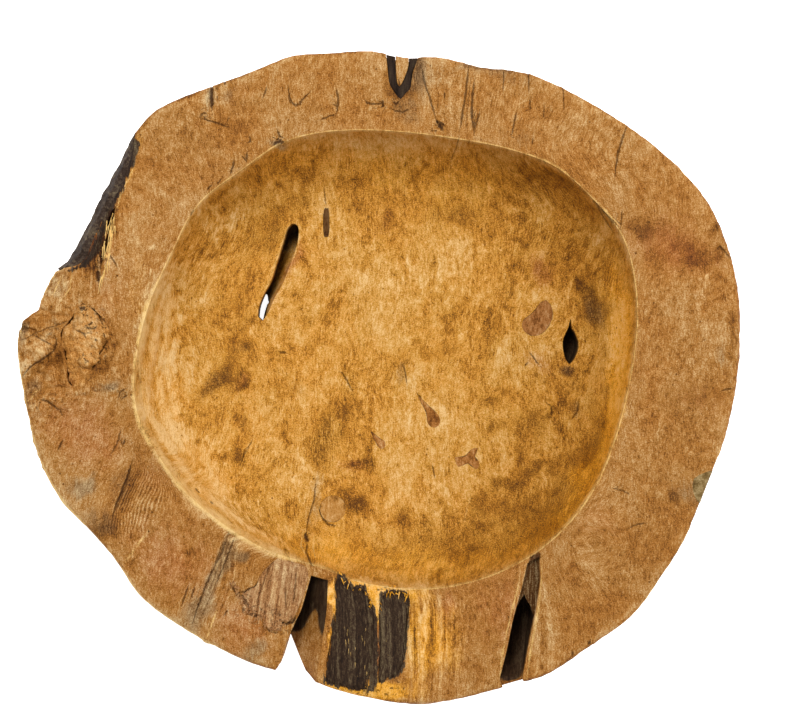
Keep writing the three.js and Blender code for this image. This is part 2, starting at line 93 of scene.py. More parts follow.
# Soft marks in the wood: x, y, half length, half width, turn in degrees, strength
# Dark stains, and painted shade beside the burl's lumps and along the rim's right edge
DARK_STAIN_AND_SHADE_OVALS = (
    (-35.4, -31.9, 14.1, 9.9, 0, 0.55), (-43.7, -50.1, 14.1, 14.9, 0, 0.65),
    (-54.4, -68.3, 7.5, 10.8, 10, 0.5), (-21.3, -74.1, 8.3, 5, 0, 0.8), (-8.1, -69.1, 6.6, 10.8, 0, 0.65),
    (-21.3, -107.2, 8.3, 9.1, 0, 0.7), (-28.8, -96.5, 12.4, 5, 0, 0.6), (89.6, -20.3, 10.8, 5.8, 0, 0.55),
    (96.3, -41, 9.1, 7.5, 0, 0.55), (126.1, -35.2, 16.6, 12.4, 0, 0.55), (112.8, -60, 6.6, 14.9, 0, 0.5),
    (128.5, -73.3, 11.6, 5.8, 25, 0.55), (102.9, -88.2, 12.4, 6.6, 25, 0.65),
    (84.7, -100.6, 10.8, 4.1, 10, 0.3), (19.3, -111.4, 8.3, 7.5, 0, 0.55),
    (-60.2, 46.8, 9.9, 6.6, 0, 0.45), (-107.4, 46.8, 5, 4.1, 0, 0.6), (-111.6, 25.3, 5, 6.6, 0, 0.45),
    (-129.8, 65, 16.6, 7.5, 0, 0.3), (-61.9, 148.6, 4.1, 5.8, -25, 0.5), (-8.1, 155.2, 7.5, 5, 0, 0.35),
    (7.7, 132.9, 9.9, 10.8, 0, 0.5), (60.7, 137, 24, 10.8, 0, 0.5), (88.8, 97.3, 6.6, 4.1, 0, 0.45),
    (44.1, 94, 3.3, 5.8, 0, 0.6), (64, 89.8, 2.5, 5.8, 20, 0.6), (136, 90.7, 10.8, 11.6, 0, 0.45),
    (174.9, 74.1, 9.9, 8.3, 0, 0.5), (179.9, 55.1, 11.6, 14.9, 0, 0.6), (167.5, 83.2, 6.6, 6.6, 0, 0.4),
    (42.4, 21.1, 43.1, 6.6, 0, 0.35), (-116.5, -2.1, 5, 8.3, -20, 0.7), (-91.7, -21.1, 7.5, 3.3, 0, 0.5),
    (-109.9, -41.8, 10.8, 6.6, -30, 0.45), (-118.2, -66.7, 6.6, 9.1, 0, 0.6),
    (-135.6, -8.7, 6.6, 18.2, -33, 0.45), (21.7, 2.1, 3.3, 9.1, 8, 0.4), (160.8, -28.6, 5, 8.3, -15, 0.5),
    (141, -26.9, 2.5, 8.3, 0, 0.45), (133.5, 1.2, 3.3, 3.3, 0, 0.7), (155, 5.4, 7.5, 5, 0, 0.65),
    (-79.3, 120.5, 8.3, 16.6, -25, 0.2), (-96.7, 113.8, 11.6, 28.2, -38, 0.3),
    (100.4, 178.4, 28.2, 10.8, -18, 0.2), (138.5, 158.6, 20.7, 9.1, -42, 0.2),
    (104.5, -111.4, 19.9, 8.3, 0, 0.3), (176.6, -51.8, 9.1, 34.8, -10, 0.4),
    (-50.3, -118, 24.8, 8.3, -10, 0.25), (-22.1, -131.2, 33.1, 8.3, 0, 0.15),
    (42.4, -138.7, 49.7, 6.6, 0, 0.1), (82.2, -105.6, 8.3, 16.6, 0, 0.15),
    (-23.8, 64.2, 5.8, 4.1, 0, 0.25), (-5.6, 80.7, 6.6, 4.1, 0, 0.2), (67.3, 64.2, 9.9, 4.1, 0, 0.2),
    (25.9, 39.3, 8.3, 4.1, 0, 0.2), (117, 64.2, 6.6, 4.1, 0, 0.2), (-27.9, 22.8, 7.5, 4.1, 0, 0.25),
    (-85.1, 20.3, 6.6, 3.3, 0, 0.4), (-65.2, -2.1, 5.8, 5.8, 0, 0.3), (-71.8, -43.5, 6.6, 8.3, 0, 0.3),
    (-85.9, -76.6, 6.6, 9.9, 0, 0.3), (-100, -91.5, 5, 6.6, 0, 0.3), (-124.8, -84.9, 4.1, 8.3, 0, 0.35),
    (50.7, -51.8, 5.8, 3.3, 0, 0.25), (44.1, -74.9, 2.5, 5.8, 25, 0.5), (69.8, -28.6, 2.5, 5, 0, 0.5),
    (34.2, -76.6, 6.6, 5, 0, 0.2), (5.2, -84.9, 6.6, 5.8, 0, 0.3), (75.6, -2.1, 7.5, 4.1, 0, 0.2),
    (104.5, -4.6, 2.5, 2.5, 0, 0.6), (112.8, 31, 5, 3.3, 0, 0.2), (150.1, 22.8, 6.6, 4.1, 0, 0.3),
    (183.2, 14.5, 6.6, 16.6, 0, 0.25), (170.8, -18.6, 5.8, 9.9, 0, 0.25),
    (242.8, 113.8, 33.1, 16.6, -25, 0.35), (266, 95.6, 14.9, 11.6, 0, 0.3),
    (216.3, 125.4, 11.6, 8.3, 0, 0.4), (222.9, 95.6, 9.9, 8.3, 0, 0.25),
    (270.1, -14.5, 19.9, 8.3, 0, 0.25), (228.7, -18.6, 21.5, 13.2, 0, 0.15),
    (24.2, 219.8, 10.8, 14.1, 0, 0.35), (32.5, 250.5, 5, 13.2, 0, 0.45), (110.3, 249.6, 16.6, 6.6, 0, 0.3),
    (122.8, 195, 9.9, 6.6, 0, 0.25), (83.8, 256.3, 8.3, 5, 0, 0.3), (103.7, -175.9, 14.1, 9.1, 0, 0.4),
    (162.5, -128.8, 11.6, 8.3, 35, 0.3), (-215.9, -101.4, 13.2, 28.2, -28, 0.3),
    (-196, -86.5, 16.6, 19.9, -30, 0.3), (-230.8, -124.6, 14.9, 11.6, -30, 0.45),
    (-220.9, 22.8, 5, 11.6, -12, 0.4), (-234.1, 4.6, 5.8, 7.5, -40, 0.4),
    (-234.9, 107.2, 5.8, 16.6, -12, 0.35), (-260.6, 2.9, 9.9, 13.2, 0, 0.1),
    (-262.3, -26.9, 8.3, 4.1, -25, 0.3), (-223.4, -7.9, 7.5, 5.8, 40, 0.35),
    (-40.4, 233.9, 33.1, 16.6, 0, 0.1), (-189.4, 217.3, 20.7, 11.6, 20, 0.15),
    (-160.4, -118, 14.9, 11.6, 0, 0.2), (-143.9, -76.6, 5, 9.9, -30, 0.2),
    (280.1, 123.8, 3.3, 6.6, -10, 0.6), (281.7, 103.9, 3.3, 5.8, 0, 0.5), (296.6, 37.7, 3.3, 23.2, 0, 0.8),
    (245.3, -98.9, 3.3, 3.3, 0, 0.8), (-126.5, 229.8, 4.1, 7.5, 0, 0.35),
    (179.9, -190, 18.2, 3.3, -8, 0.25), (-102.5, -190.9, 9.9, 8.3, 0, 0.2),
    (-121.5, -225.6, 18.2, 9.9, -25, 0.2), (-172.8, -171.8, 18.2, 11.6, -35, 0.2),
    (257.7, -51.8, 38.1, 74.5, 0, 0.15), (216.3, -151.1, 49.7, 49.7, 0, 0.15),
    (-123.2, 10.3, 21.5, 29.8, 0, 0.25), (44.9, -200.8, 2.5, 33.1, 2, 0.5),
    (29.2, -217.3, 1.7, 33.1, 2, 0.6), (9.3, 254.6, 4.1, 18.2, 0, 0.5), (29.2, 257.9, 3.3, 14.9, 0, 0.4),
    (17.6, 236.4, 10.8, 5.8, 0, 0.6), (-229.1, 113.8, 5.8, 28.2, -14, 0.5),
    (-237.4, 95.6, 6.6, 11.6, -20, 0.5), (-217.6, 138.7, 5, 16.6, -25, 0.5),
    (-255.6, 21.1, 5.8, 14.9, -12, 0.2),
)
# Pale places
PALE_OVALS = (
    (-123.2, 129.6, 18.2, 9.9, 10, 0.4), (-143.9, 101.4, 16.6, 18.2, -20, 0.25),
    (-181.1, 55.9, 13.2, 49.7, -8, 0.8), (-182.8, -6.2, 11.6, 41.4, 4, 0.9),
    (-166.2, -51.8, 14.9, 37.3, 30, 0.8), (-143.9, -93.1, 16.6, 24.8, 40, 0.9),
    (-135.6, -84.9, 14.9, 19.9, 40, 0.25), (-100, -105.6, 18.2, 14.9, 35, 0.25),
    (34.2, 89, 41.4, 18.2, 0, 0.3), (59, 39.3, 38.1, 9.9, 0, 0.2), (-11.4, -14.5, 19.9, 13.2, 0, 0.3),
    (34.2, -35.2, 24.8, 13.2, 0, 0.2), (13.5, -101.4, 34.8, 18.2, 0, 0.2),
    (50.7, -101.4, 18.2, 23.2, 0, 0.2), (-80.1, -18.6, 19.9, 8.3, 0, 0.2),
    (-27.9, 97.3, 24.8, 16.6, 0, 0.15), (79.7, 109.7, 24.8, 13.2, 0, 0.3),
    (-65.2, -76.6, 8.3, 14.9, 0, 0.3), (-40.4, -84.9, 9.9, 6.6, 0, 0.3), (-39.5, -113.8, 9.9, 9.1, 0, 0.5),
    (159.2, 74.1, 7.5, 8.3, -20, 0.4), (-107.4, 37.7, 4.1, 5.8, 0, 0.5), (141.8, -60, 6.6, 5.8, 0, 0.45),
    (138.5, -88.2, 9.9, 5, 30, 0.4), (183.2, 105.6, 6.6, 21.5, 28, 0.25),
    (133.5, 175.9, 11.6, 6.6, -25, 0.35), (75.6, 181.7, 11.6, 8.3, 0, 0.25),
    (100.4, 155.2, 16.6, 6.6, 0, 0.2), (-193.5, 112.2, 3.3, 3.3, 0, 0.6),
    (-263.9, 76.6, 9.9, 14.1, -35, 0.4), (-247.4, 64.2, 8.3, 6.6, 0, 0.2),
    (-273.9, 26.9, 11.6, 8.3, 0, 0.25), (-239.1, 35.2, 11.6, 13.2, 0, 0.25),
    (-200.2, -141.2, 2.5, 18.2, -36, 0.6), (-207.6, -76.6, 13.2, 4.1, 55, 0.25),
    (-243.2, -76.6, 11.6, 9.9, 40, 0.2), (275.9, 76.6, 11.6, 9.9, 0, 0.3),
    (257.7, 55.9, 21.5, 6.6, 10, 0.15), (150.1, 229.8, 33.1, 21.5, -25, 0.12),
    (59, 229.8, 11.6, 21.5, 0, 0.15), (183.2, 175.9, 19.9, 18.2, 0, 0.15),
    (-138.1, -204.9, 2.5, 14.9, -20, 0.5), (-125.6, -156.1, 6.6, 9.9, -25, 0.3),
    (216.3, -151.1, 33.1, 24.8, 0, 0.12), (170.8, -175.9, 19.9, 24.8, 0, 0.12),
    (150.1, -217.3, 19.9, 16.6, 35, 0.12), (-162.1, -142, 1.7, 1.7, 0, 0.8),
    (-4.8, -233.9, 2.5, 26.5, 5, 0.6), (-38.7, -190.9, 2.5, 24.8, 2, 0.7),
    (198.1, 26.9, 9.9, 49.7, 2, 0.5), (37.5, -202.4, 1.7, 28.2, 2, 0.9), (183.2, -71.6, 5, 24.8, -30, 0.3),
    (160.8, -103.1, 4.1, 24.8, -42, 0.3), (-121.5, -122.1, 9.9, 24.8, 52, 0.8),
    (-94.2, -138.7, 8.3, 19.9, 60, 0.7), (-5.6, -174.3, 28.2, 5, -4, 0.9),
    (-0.6, -187.5, 3.3, 9.9, 0, 0.9),
)
# Golden tone in the dish, which on its right and lower walls is also painted light
GOLD_AND_WALL_LIGHT_OVALS = (
    (201.4, 26.9, 10.8, 59.6, 2, 1), (194.8, -43.5, 11.6, 38.1, -12, 0.95),
    (174.9, -84.9, 11.6, 29.8, -35, 0.75), (145.9, -126.3, 11.6, 33.1, -55, 0.5),
    (75.6, -156.1, 46.4, 11.6, 4, 0.3), (13.5, -152.8, 46.4, 14.9, -2, 0.35),
    (-36.2, -141.2, 21.5, 13.2, -15, 0.4), (-65.2, -138.7, 24.8, 9.9, -25, 0.35),
    (83.8, 171.8, 33.1, 14.9, -15, 0.3), (-7.2, 180.1, 49.7, 14.9, 0, 0.3),
    (42.4, 155.2, 58, 19.9, 0, 0.2), (-81.8, 175.9, 33.1, 13.2, 28, 0.3),
)
# Reddish stains
RED_OVALS = (
    (241.2, 109.7, 38.1, 19.9, -22, 0.6), (-222.5, 72.5, 18.2, 33.1, -15, 0.35),
    (-255.6, -35.2, 33.1, 24.8, 0, 0.5), (-230.8, -60, 24.8, 21.5, 0, 0.35),
    (-172.8, -151.1, 38.1, 26.5, -35, 0.6), (-110.7, -209.1, 28.2, 21.5, -20, 0.6),
    (-23.8, -73.3, 11.6, 6.6, 0, 0.6), (136, 90.7, 10.8, 13.2, 0, 0.7),
    (100.4, -192.5, 18.2, 28.2, 0, 0.55), (55.7, -189.2, 6.6, 16.6, 0, 0.8),
    (-1.4, -229.8, 3.3, 29.8, 2, 0.9), (-75.1, 90.7, 5, 24.8, -24, 0.8), (133.5, 12.8, 14.9, 8.3, 0, 0.5),
    (-234.9, 109.7, 6.6, 18.2, -15, 0.7), (7.7, 132.9, 8.3, 9.9, 0, 0.4),
    (-121.5, 233.9, 33.1, 16.6, 15, 0.2), (266, -18.6, 24.8, 16.6, 0, 0.3),
    (183.2, -118, 24.8, 21.5, 0, 0.25), (-116.5, -2.1, 5, 8.3, -20, 0.5),
    (-222.5, 120.5, 3.3, 16.6, -8, 0.3), (-181.1, -80.7, 16.6, 13.2, 0, 0.3),
)
# Weathered grey stains
GREY_OVALS = (
    (-125.6, -141.2, 7.5, 16.6, -18, 1), (-138.1, -166, 6.6, 16.6, -24, 1),
    (-151.3, -194.2, 14.9, 13.2, -30, 0.9), (-114.1, -148.6, 5, 6.6, -30, 0.9),
    (-101.6, -228.9, 9.1, 10.8, 0, 0.7), (-223.4, -7.9, 8.3, 5, 40, 0.9), (-293.7, 37.7, 5.8, 6.6, 0, 0.9),
    (-247.4, -91.5, 9.1, 7.5, 20, 0.9), (-237.4, -80.7, 3.3, 6.6, -35, 0.6),
    (122.8, 195, 9.9, 6.6, 0, 0.4), (24.2, 219.8, 11.6, 14.9, 0, 0.5), (32.5, 253, 5, 13.2, 0, 0.7),
    (-138.1, 231.4, 3.3, 11.6, 0, 0.8), (-126.5, 229.8, 4.1, 7.5, 0, 0.5),
    (110.3, 248.8, 16.6, 6.6, 0, 0.4), (-135.6, -8.7, 7.5, 19.9, -33, 0.3),
    (-118.2, 23.6, 7.5, 6.6, 0, 0.3), (-55.3, -101.4, 5, 24.8, -6, 0.5), (179.9, 57.5, 10.8, 14.1, 0, 0.5),
    (21.7, 2.1, 4.1, 9.9, 8, 0.5), (-285.5, -8.7, 6.6, 5.8, 20, 0.6), (-290.4, -20.3, 5, 6.6, 20, 0.6),
    (-230.8, -118, 14.9, 9.9, -30, 0.5), (-212.6, -91.5, 9.9, 16.6, -28, 0.5),
    (-265.6, 76.6, 9.9, 14.1, -35, 0.6), (287.5, 18.6, 5.8, 9.9, 0, 0.5), (155, 5.4, 7.5, 5, 0, 0.6),
    (-82.6, 194.2, 6.6, 4.1, -20, 0.9), (216.3, -101.4, 24.8, 16.6, 0, 0.1),
    (-108.3, -41.8, 11.6, 7.5, -30, 0.2), (-65.2, -6.2, 6.6, 8.3, 0, 0.3),
    (160.8, -28.6, 5.8, 6.6, 0, 0.4), (42.4, 246.3, 24.8, 16.6, 0, 0.3), (83.8, 257.9, 24.8, 5, -5, 0.6),
    (257.7, -93.1, 14.9, 6.6, 0, 0.5),
)
# Painted shadow under the lobe's edge in the notch and the hollow beside it, and the dark knot hole there
NOTCH_SHADOW_OVALS = (
    (-50.3, -174.3, 10.8, 14.9, -8, 1.5), (-45.3, -189.2, 5, 24.8, -1, 1.3),
    (-60.2, -186.7, 7.5, 24.8, -24, 0.9), (-68.5, -202.4, 6.6, 5.8, -30, 0.9),
    (-53.6, -175.9, 4.1, 19.9, -20, 1.2), (-62.7, -189.2, 4.1, 14.9, -24, 1.2),
)
# The slot's slope, which the painted shadow leaves brown
SLOPE_OVALS = (
    (-76.8, 90.7, 8.3, 28.2, -24, 1),
)
# Painted shadow in the cleft, below the rim
CLEFT_SHADOW_OVALS = (
    (121.9, -184.2, 11.6, 33.1, -12, 1), (116.1, -217.3, 11.6, 33.1, -12, 1),
    (110.3, -242.2, 9.9, 13.2, -10, 0.8),
)
# Crumbling wood with dark pits
CRUMBLE_OVALS = (
    (-3.1, -175.9, 28.2, 5.8, -3, 0.7), (-237.4, 46, 13.2, 13.2, 0, 1), (-228.3, 35.2, 6.6, 14.9, 0, 0.9),
    (-247.4, 55.9, 6.6, 5, 0, 0.9), (-242.4, 14.5, 8.3, 8.3, 0, 0.7), (-230.8, 24.4, 6.6, 11.6, -20, 0.7),
    (-272.2, 39.3, 9.9, 5, 10, 0.6), (-276.3, -20.3, 14.9, 5, 20, 0.6), (-265.6, -25.3, 6.6, 5, 0, 0.7),
    (-94.2, -199.1, 14.9, 8.3, -20, 0.9), (-76.8, -202.4, 8.3, 6.6, 0, 0.8),
    (-111.6, -185.9, 5, 9.9, -25, 0.8), (7.7, -257.1, 14.9, 6.6, 0, 1),
    (-22.1, -258.8, 16.6, 4.1, -12, 0.9), (-230.8, 98.9, 7.5, 19.9, -14, 0.7),
    (-215.9, -14.5, 8.3, 5, 30, 0.5), (17.6, 231.4, 8.3, 6.6, 0, 0.7), (50.7, 204.9, 6.6, 6.6, 0, 0.7),
)
# Where the dish's lip is worn widest
LIP_OVALS = (
    (-172.8, -74.9, 11.6, 41.4, 40, 0.9), (-127.3, -121.3, 41.4, 8.3, -38, 1),
    (-85.9, -145.3, 24.8, 6.6, -25, 0.9), (-193.5, -6.2, 13.2, 38.1, -5, 1),
    (-189.4, 47.6, 13.2, 44.7, 8, 1), (183.2, -101.4, 8.3, 49.7, -38, 0.5),
    (208, -43.5, 6.6, 33.1, -20, 0.4), (141.8, 180.1, 16.6, 6.6, -25, 0.6),
)
# Where the rim's outer edge is pale: worn wood, and a painted highlight on its chamfer
EDGE_WEAR_AND_LIGHT_OVALS = (
    (-295.4, -35.2, 11.6, 49.7, 10, 1), (-263.9, -101.4, 13.2, 41.4, 35, 1),
    (-206, -167.7, 49.7, 11.6, -42, 1), (-139.7, -221.5, 49.7, 9.9, -28, 0.7),
    (-298.7, 22.8, 6.6, 24.8, 0, 0.6), (-270.5, 76.6, 9.9, 24.8, -30, 0.8),
    (282.6, -76.6, 9.9, 41.4, -15, 0.7), (257.7, -134.5, 9.9, 33.1, -30, 0.8),
    (216.3, -188.4, 33.1, 8.3, 45, 0.8), (183.2, 213.2, 58, 8.3, -35, 0.6),
    (257.7, 171.8, 11.6, 33.1, 40, 0.4), (-81.8, 262.9, 49.7, 6.6, 18, 0.3),
)
# Fine ribs of the grain
RIB_OVALS = (
    (-189.4, -91.5, 18.2, 33.1, -32, 1), (-207.6, -114.7, 14.9, 19.9, -30, 0.7),
)
# Painted shade in the dish, and painted light where the strength is negative
SHADE_OVALS = (
    (-7.2, 195, 74.5, 8.3, 0, -0.8), (-119, 22.8, 8.3, 46.4, -28, 0.4),
    (-79.3, 134.5, 8.3, 28.2, -38, 0.35), (108.7, -122.1, 53, 19.9, 12, 0.55),
    (162.5, -93.1, 19.9, 41.4, -35, 0.5), (170.8, 138.7, 16.6, 41.4, 35, 0.35),
    (42.4, 192.5, 74.5, 9.9, -3, 0.12), (176.6, 64.2, 13.2, 21.5, 0, 0.3),
    (34.2, -142.8, 74.5, 8.3, 0, 0.35),
)
# Deeper tone on the rim and painted shadow beside the burl's lumps; where the strength is negative, paler
# tone and painted highlights on the lumps
RIM_TONE_AND_SHADE = (
    (-225.8, 26.9, 4.1, 14.9, 0, 0.8), (-233.3, 5.4, 4.1, 11.6, -40, 0.6),
    (-262.3, 21.1, 5, 13.2, -12, 0.6), (-275.5, 11.2, 13.2, 3.3, 35, 0.9),
    (-240.7, 32.7, 9.9, 16.6, 0, -0.5), (-282.1, 26.9, 9.9, 6.6, 20, -0.5), (-293.7, 39.3, 5, 5.8, 0, 0.8),
    (-285.5, -7, 6.6, 6.6, 0, 0.6), (-172.8, 204.9, 49.7, 33.1, 20, 0.3),
    (216.3, -155.2, 58, 41.4, 40, 0.3), (257.7, -43.5, 33.1, 58, 0, 0.25),
    (-206, 122.1, 21.5, 49.7, -20, -0.35), (-268.1, 64.2, 24.8, 16.6, 0, -0.2),
    (-222.5, -142.8, 41.4, 33.1, -35, 0.15),
)
# Bulges of the outer bark, with their height in millimetres as the strength
BARK_OVALS = (
    (-242.4, 124.6, 13.2, 28.2, -32, 1.8), (-220.9, 163.5, 9.9, 28.2, -30, 0.6),
)
# Torn places that get a finer mesh
DETAIL_OVALS = (
    (-251.5, 39.3, 49.7, 49.7, 0, 1), (-226.7, 113.8, 18.2, 37.3, -15, 1),
    (-210.1, 163.5, 8.3, 41.4, -28, 1), (-98.3, -184.2, 49.7, 41.4, 0, 0.6),
    (-32.1, -184.2, 33.1, 49.7, 0, 1), (121.1, -200.8, 19.9, 49.7, -8, 0.7),
)
# Where the grain leans, with millimetres across for each one along as the strength
GRAIN_TILTS = (
    (34.2, -151.1, 74.5, 19.9, 0, -0.45), (-135.6, -105.6, 49.7, 8.3, -38, 1.2),
    (-172.8, -51.8, 19.9, 41.4, 25, 0.3), (-214.2, -93.1, 41.4, 49.7, 0, -0.5),
    (-156.3, -175.9, 33.1, 41.4, 0, -0.45), (-106.6, -184.2, 41.4, 33.1, 0, -0.15),
    (150.1, 163.5, 49.7, 33.1, -30, 0.9), (-139.7, 97.3, 49.7, 49.7, 0, -0.5),
    (-239.1, -35.2, 41.4, 41.4, 0, -0.45), (34.2, 39.3, 132.5, 66.2, 0, -0.12),
    (-114.9, -51.8, 41.4, 41.4, 0, -0.35),
)
# Golden wood on the rim
RIM_GOLD = (
    (-5.6, -175.9, 29.8, 7.5, -4, 1), (-1.4, -187.5, 5, 11.6, 0, 1), (-27.9, -258.8, 21.5, 4.1, -12, 1.1),
    (7.7, -258.8, 18.2, 6.6, 0, 1.2), (34.2, -217.3, 16.6, 36.4, 2, 0.6),
    (59, -217.3, 13.2, 33.1, 2, 0.35), (-38.7, -192.5, 3.3, 28.2, 2, 0.9),
    (-209.3, 175.9, 6.6, 21.5, -28, 0.5), (-197.7, 64.2, 8.3, 49.7, 8, 0.2),
)
# Strongly striped grain
STRIPE_OVALS = (
    (42.4, -217.3, 23.2, 48, 0, 1), (82.2, 229.8, 46.4, 28.2, 0, 0.35),
    (-127.3, -163.5, 11.6, 43.1, -22, 0.8), (-215.9, -101.4, 16.6, 34.8, -30, 0.3),
    (-23.8, -217.3, 28.2, 49.7, 0, 0.4), (-229.1, 109.7, 11.6, 36.4, -15, 1),
    (137.7, -217.3, 11.6, 49.7, -5, 0.5), (-81.8, -180.1, 28.2, 29.8, 0, 0.9),
    (117, -192.5, 9.9, 49.7, -6, 0.6), (-135.6, 229.8, 16.6, 19.9, 0, 0.4),
)
# Lumpy burl wood
BURL_OVALS = (
    (-282.1, 26.9, 19.9, 28.2, 0, 1), (-240.7, 26.9, 19.9, 36.4, 12, 1),
    (-263.9, -18.6, 28.2, 11.6, 20, 0.7), (-262.3, 49.3, 28.2, 11.6, 18, 0.6),
    (-215.9, -12, 14.9, 8.3, 30, 0.4),
)
# Single lumps and dents of the rim, with their height in millimetres as the strength
LUMP_OVALS = (
    (-283.8, 26.9, 12.4, 9.9, 15, 2.6), (-261.4, 17, 6.6, 16.6, -12, -3.4),
    (-228.3, 9.5, 5, 18.2, -32, -2.6), (-255.6, 67.5, 13.2, 8.3, 20, 1.4),
    (-232.5, 65.8, 7.5, 13.2, 0, -1.6), (-265.6, -7, 18.2, 5, -20, -1.6),
    (-272.2, -22.8, 18.2, 5.8, 10, 1.6), (-276.3, 4.6, 21.5, 4.1, 38, -2.4),
    (-222.5, -12, 8.3, 5.8, 40, -1.4), (-288.8, -17, 6.6, 5, 20, -1.2),
    (-210.1, -89, 11.6, 29.8, -30, -0.8), (-230.8, -111.4, 9.9, 14.9, -30, 1.2),
    (-124.8, -141.2, 5.8, 18.2, -20, -1.6), (-143, -177.6, 6.6, 21.5, -26, -1.4),
    (-106.6, -217.3, 13.2, 11.6, 0, 0.8), (241.2, 109.7, 33.1, 16.6, -20, -0.9),
    (110.3, 244.7, 7.5, 9.9, 0, -0.3), (121.9, 195.8, 7.5, 7.5, 0, -0.3),
    (24.2, 219.8, 9.1, 11.6, 0, -0.5),
)
# Knots that the grain bends round: x, y, radius, pull
GRAIN_KNOTS = (
    (158.4, 29.4, 28.2, 0.7), (131.9, 50.1, 23.2, 0.5), (-83.4, 89, 29.8, 0.4), (-39.5, -113, 19.9, 0.6),
    (74.7, -67.5, 18.2, 0.4), (42.4, -28.6, 13.2, 0.4), (50.7, 206.6, 11.6, 0.5), (-239.1, 31, 28.2, 0.5),
)
# Pith with rings round it: x, y, radius
PITHS = (
    (179.1, -136.2, 28.2),
)
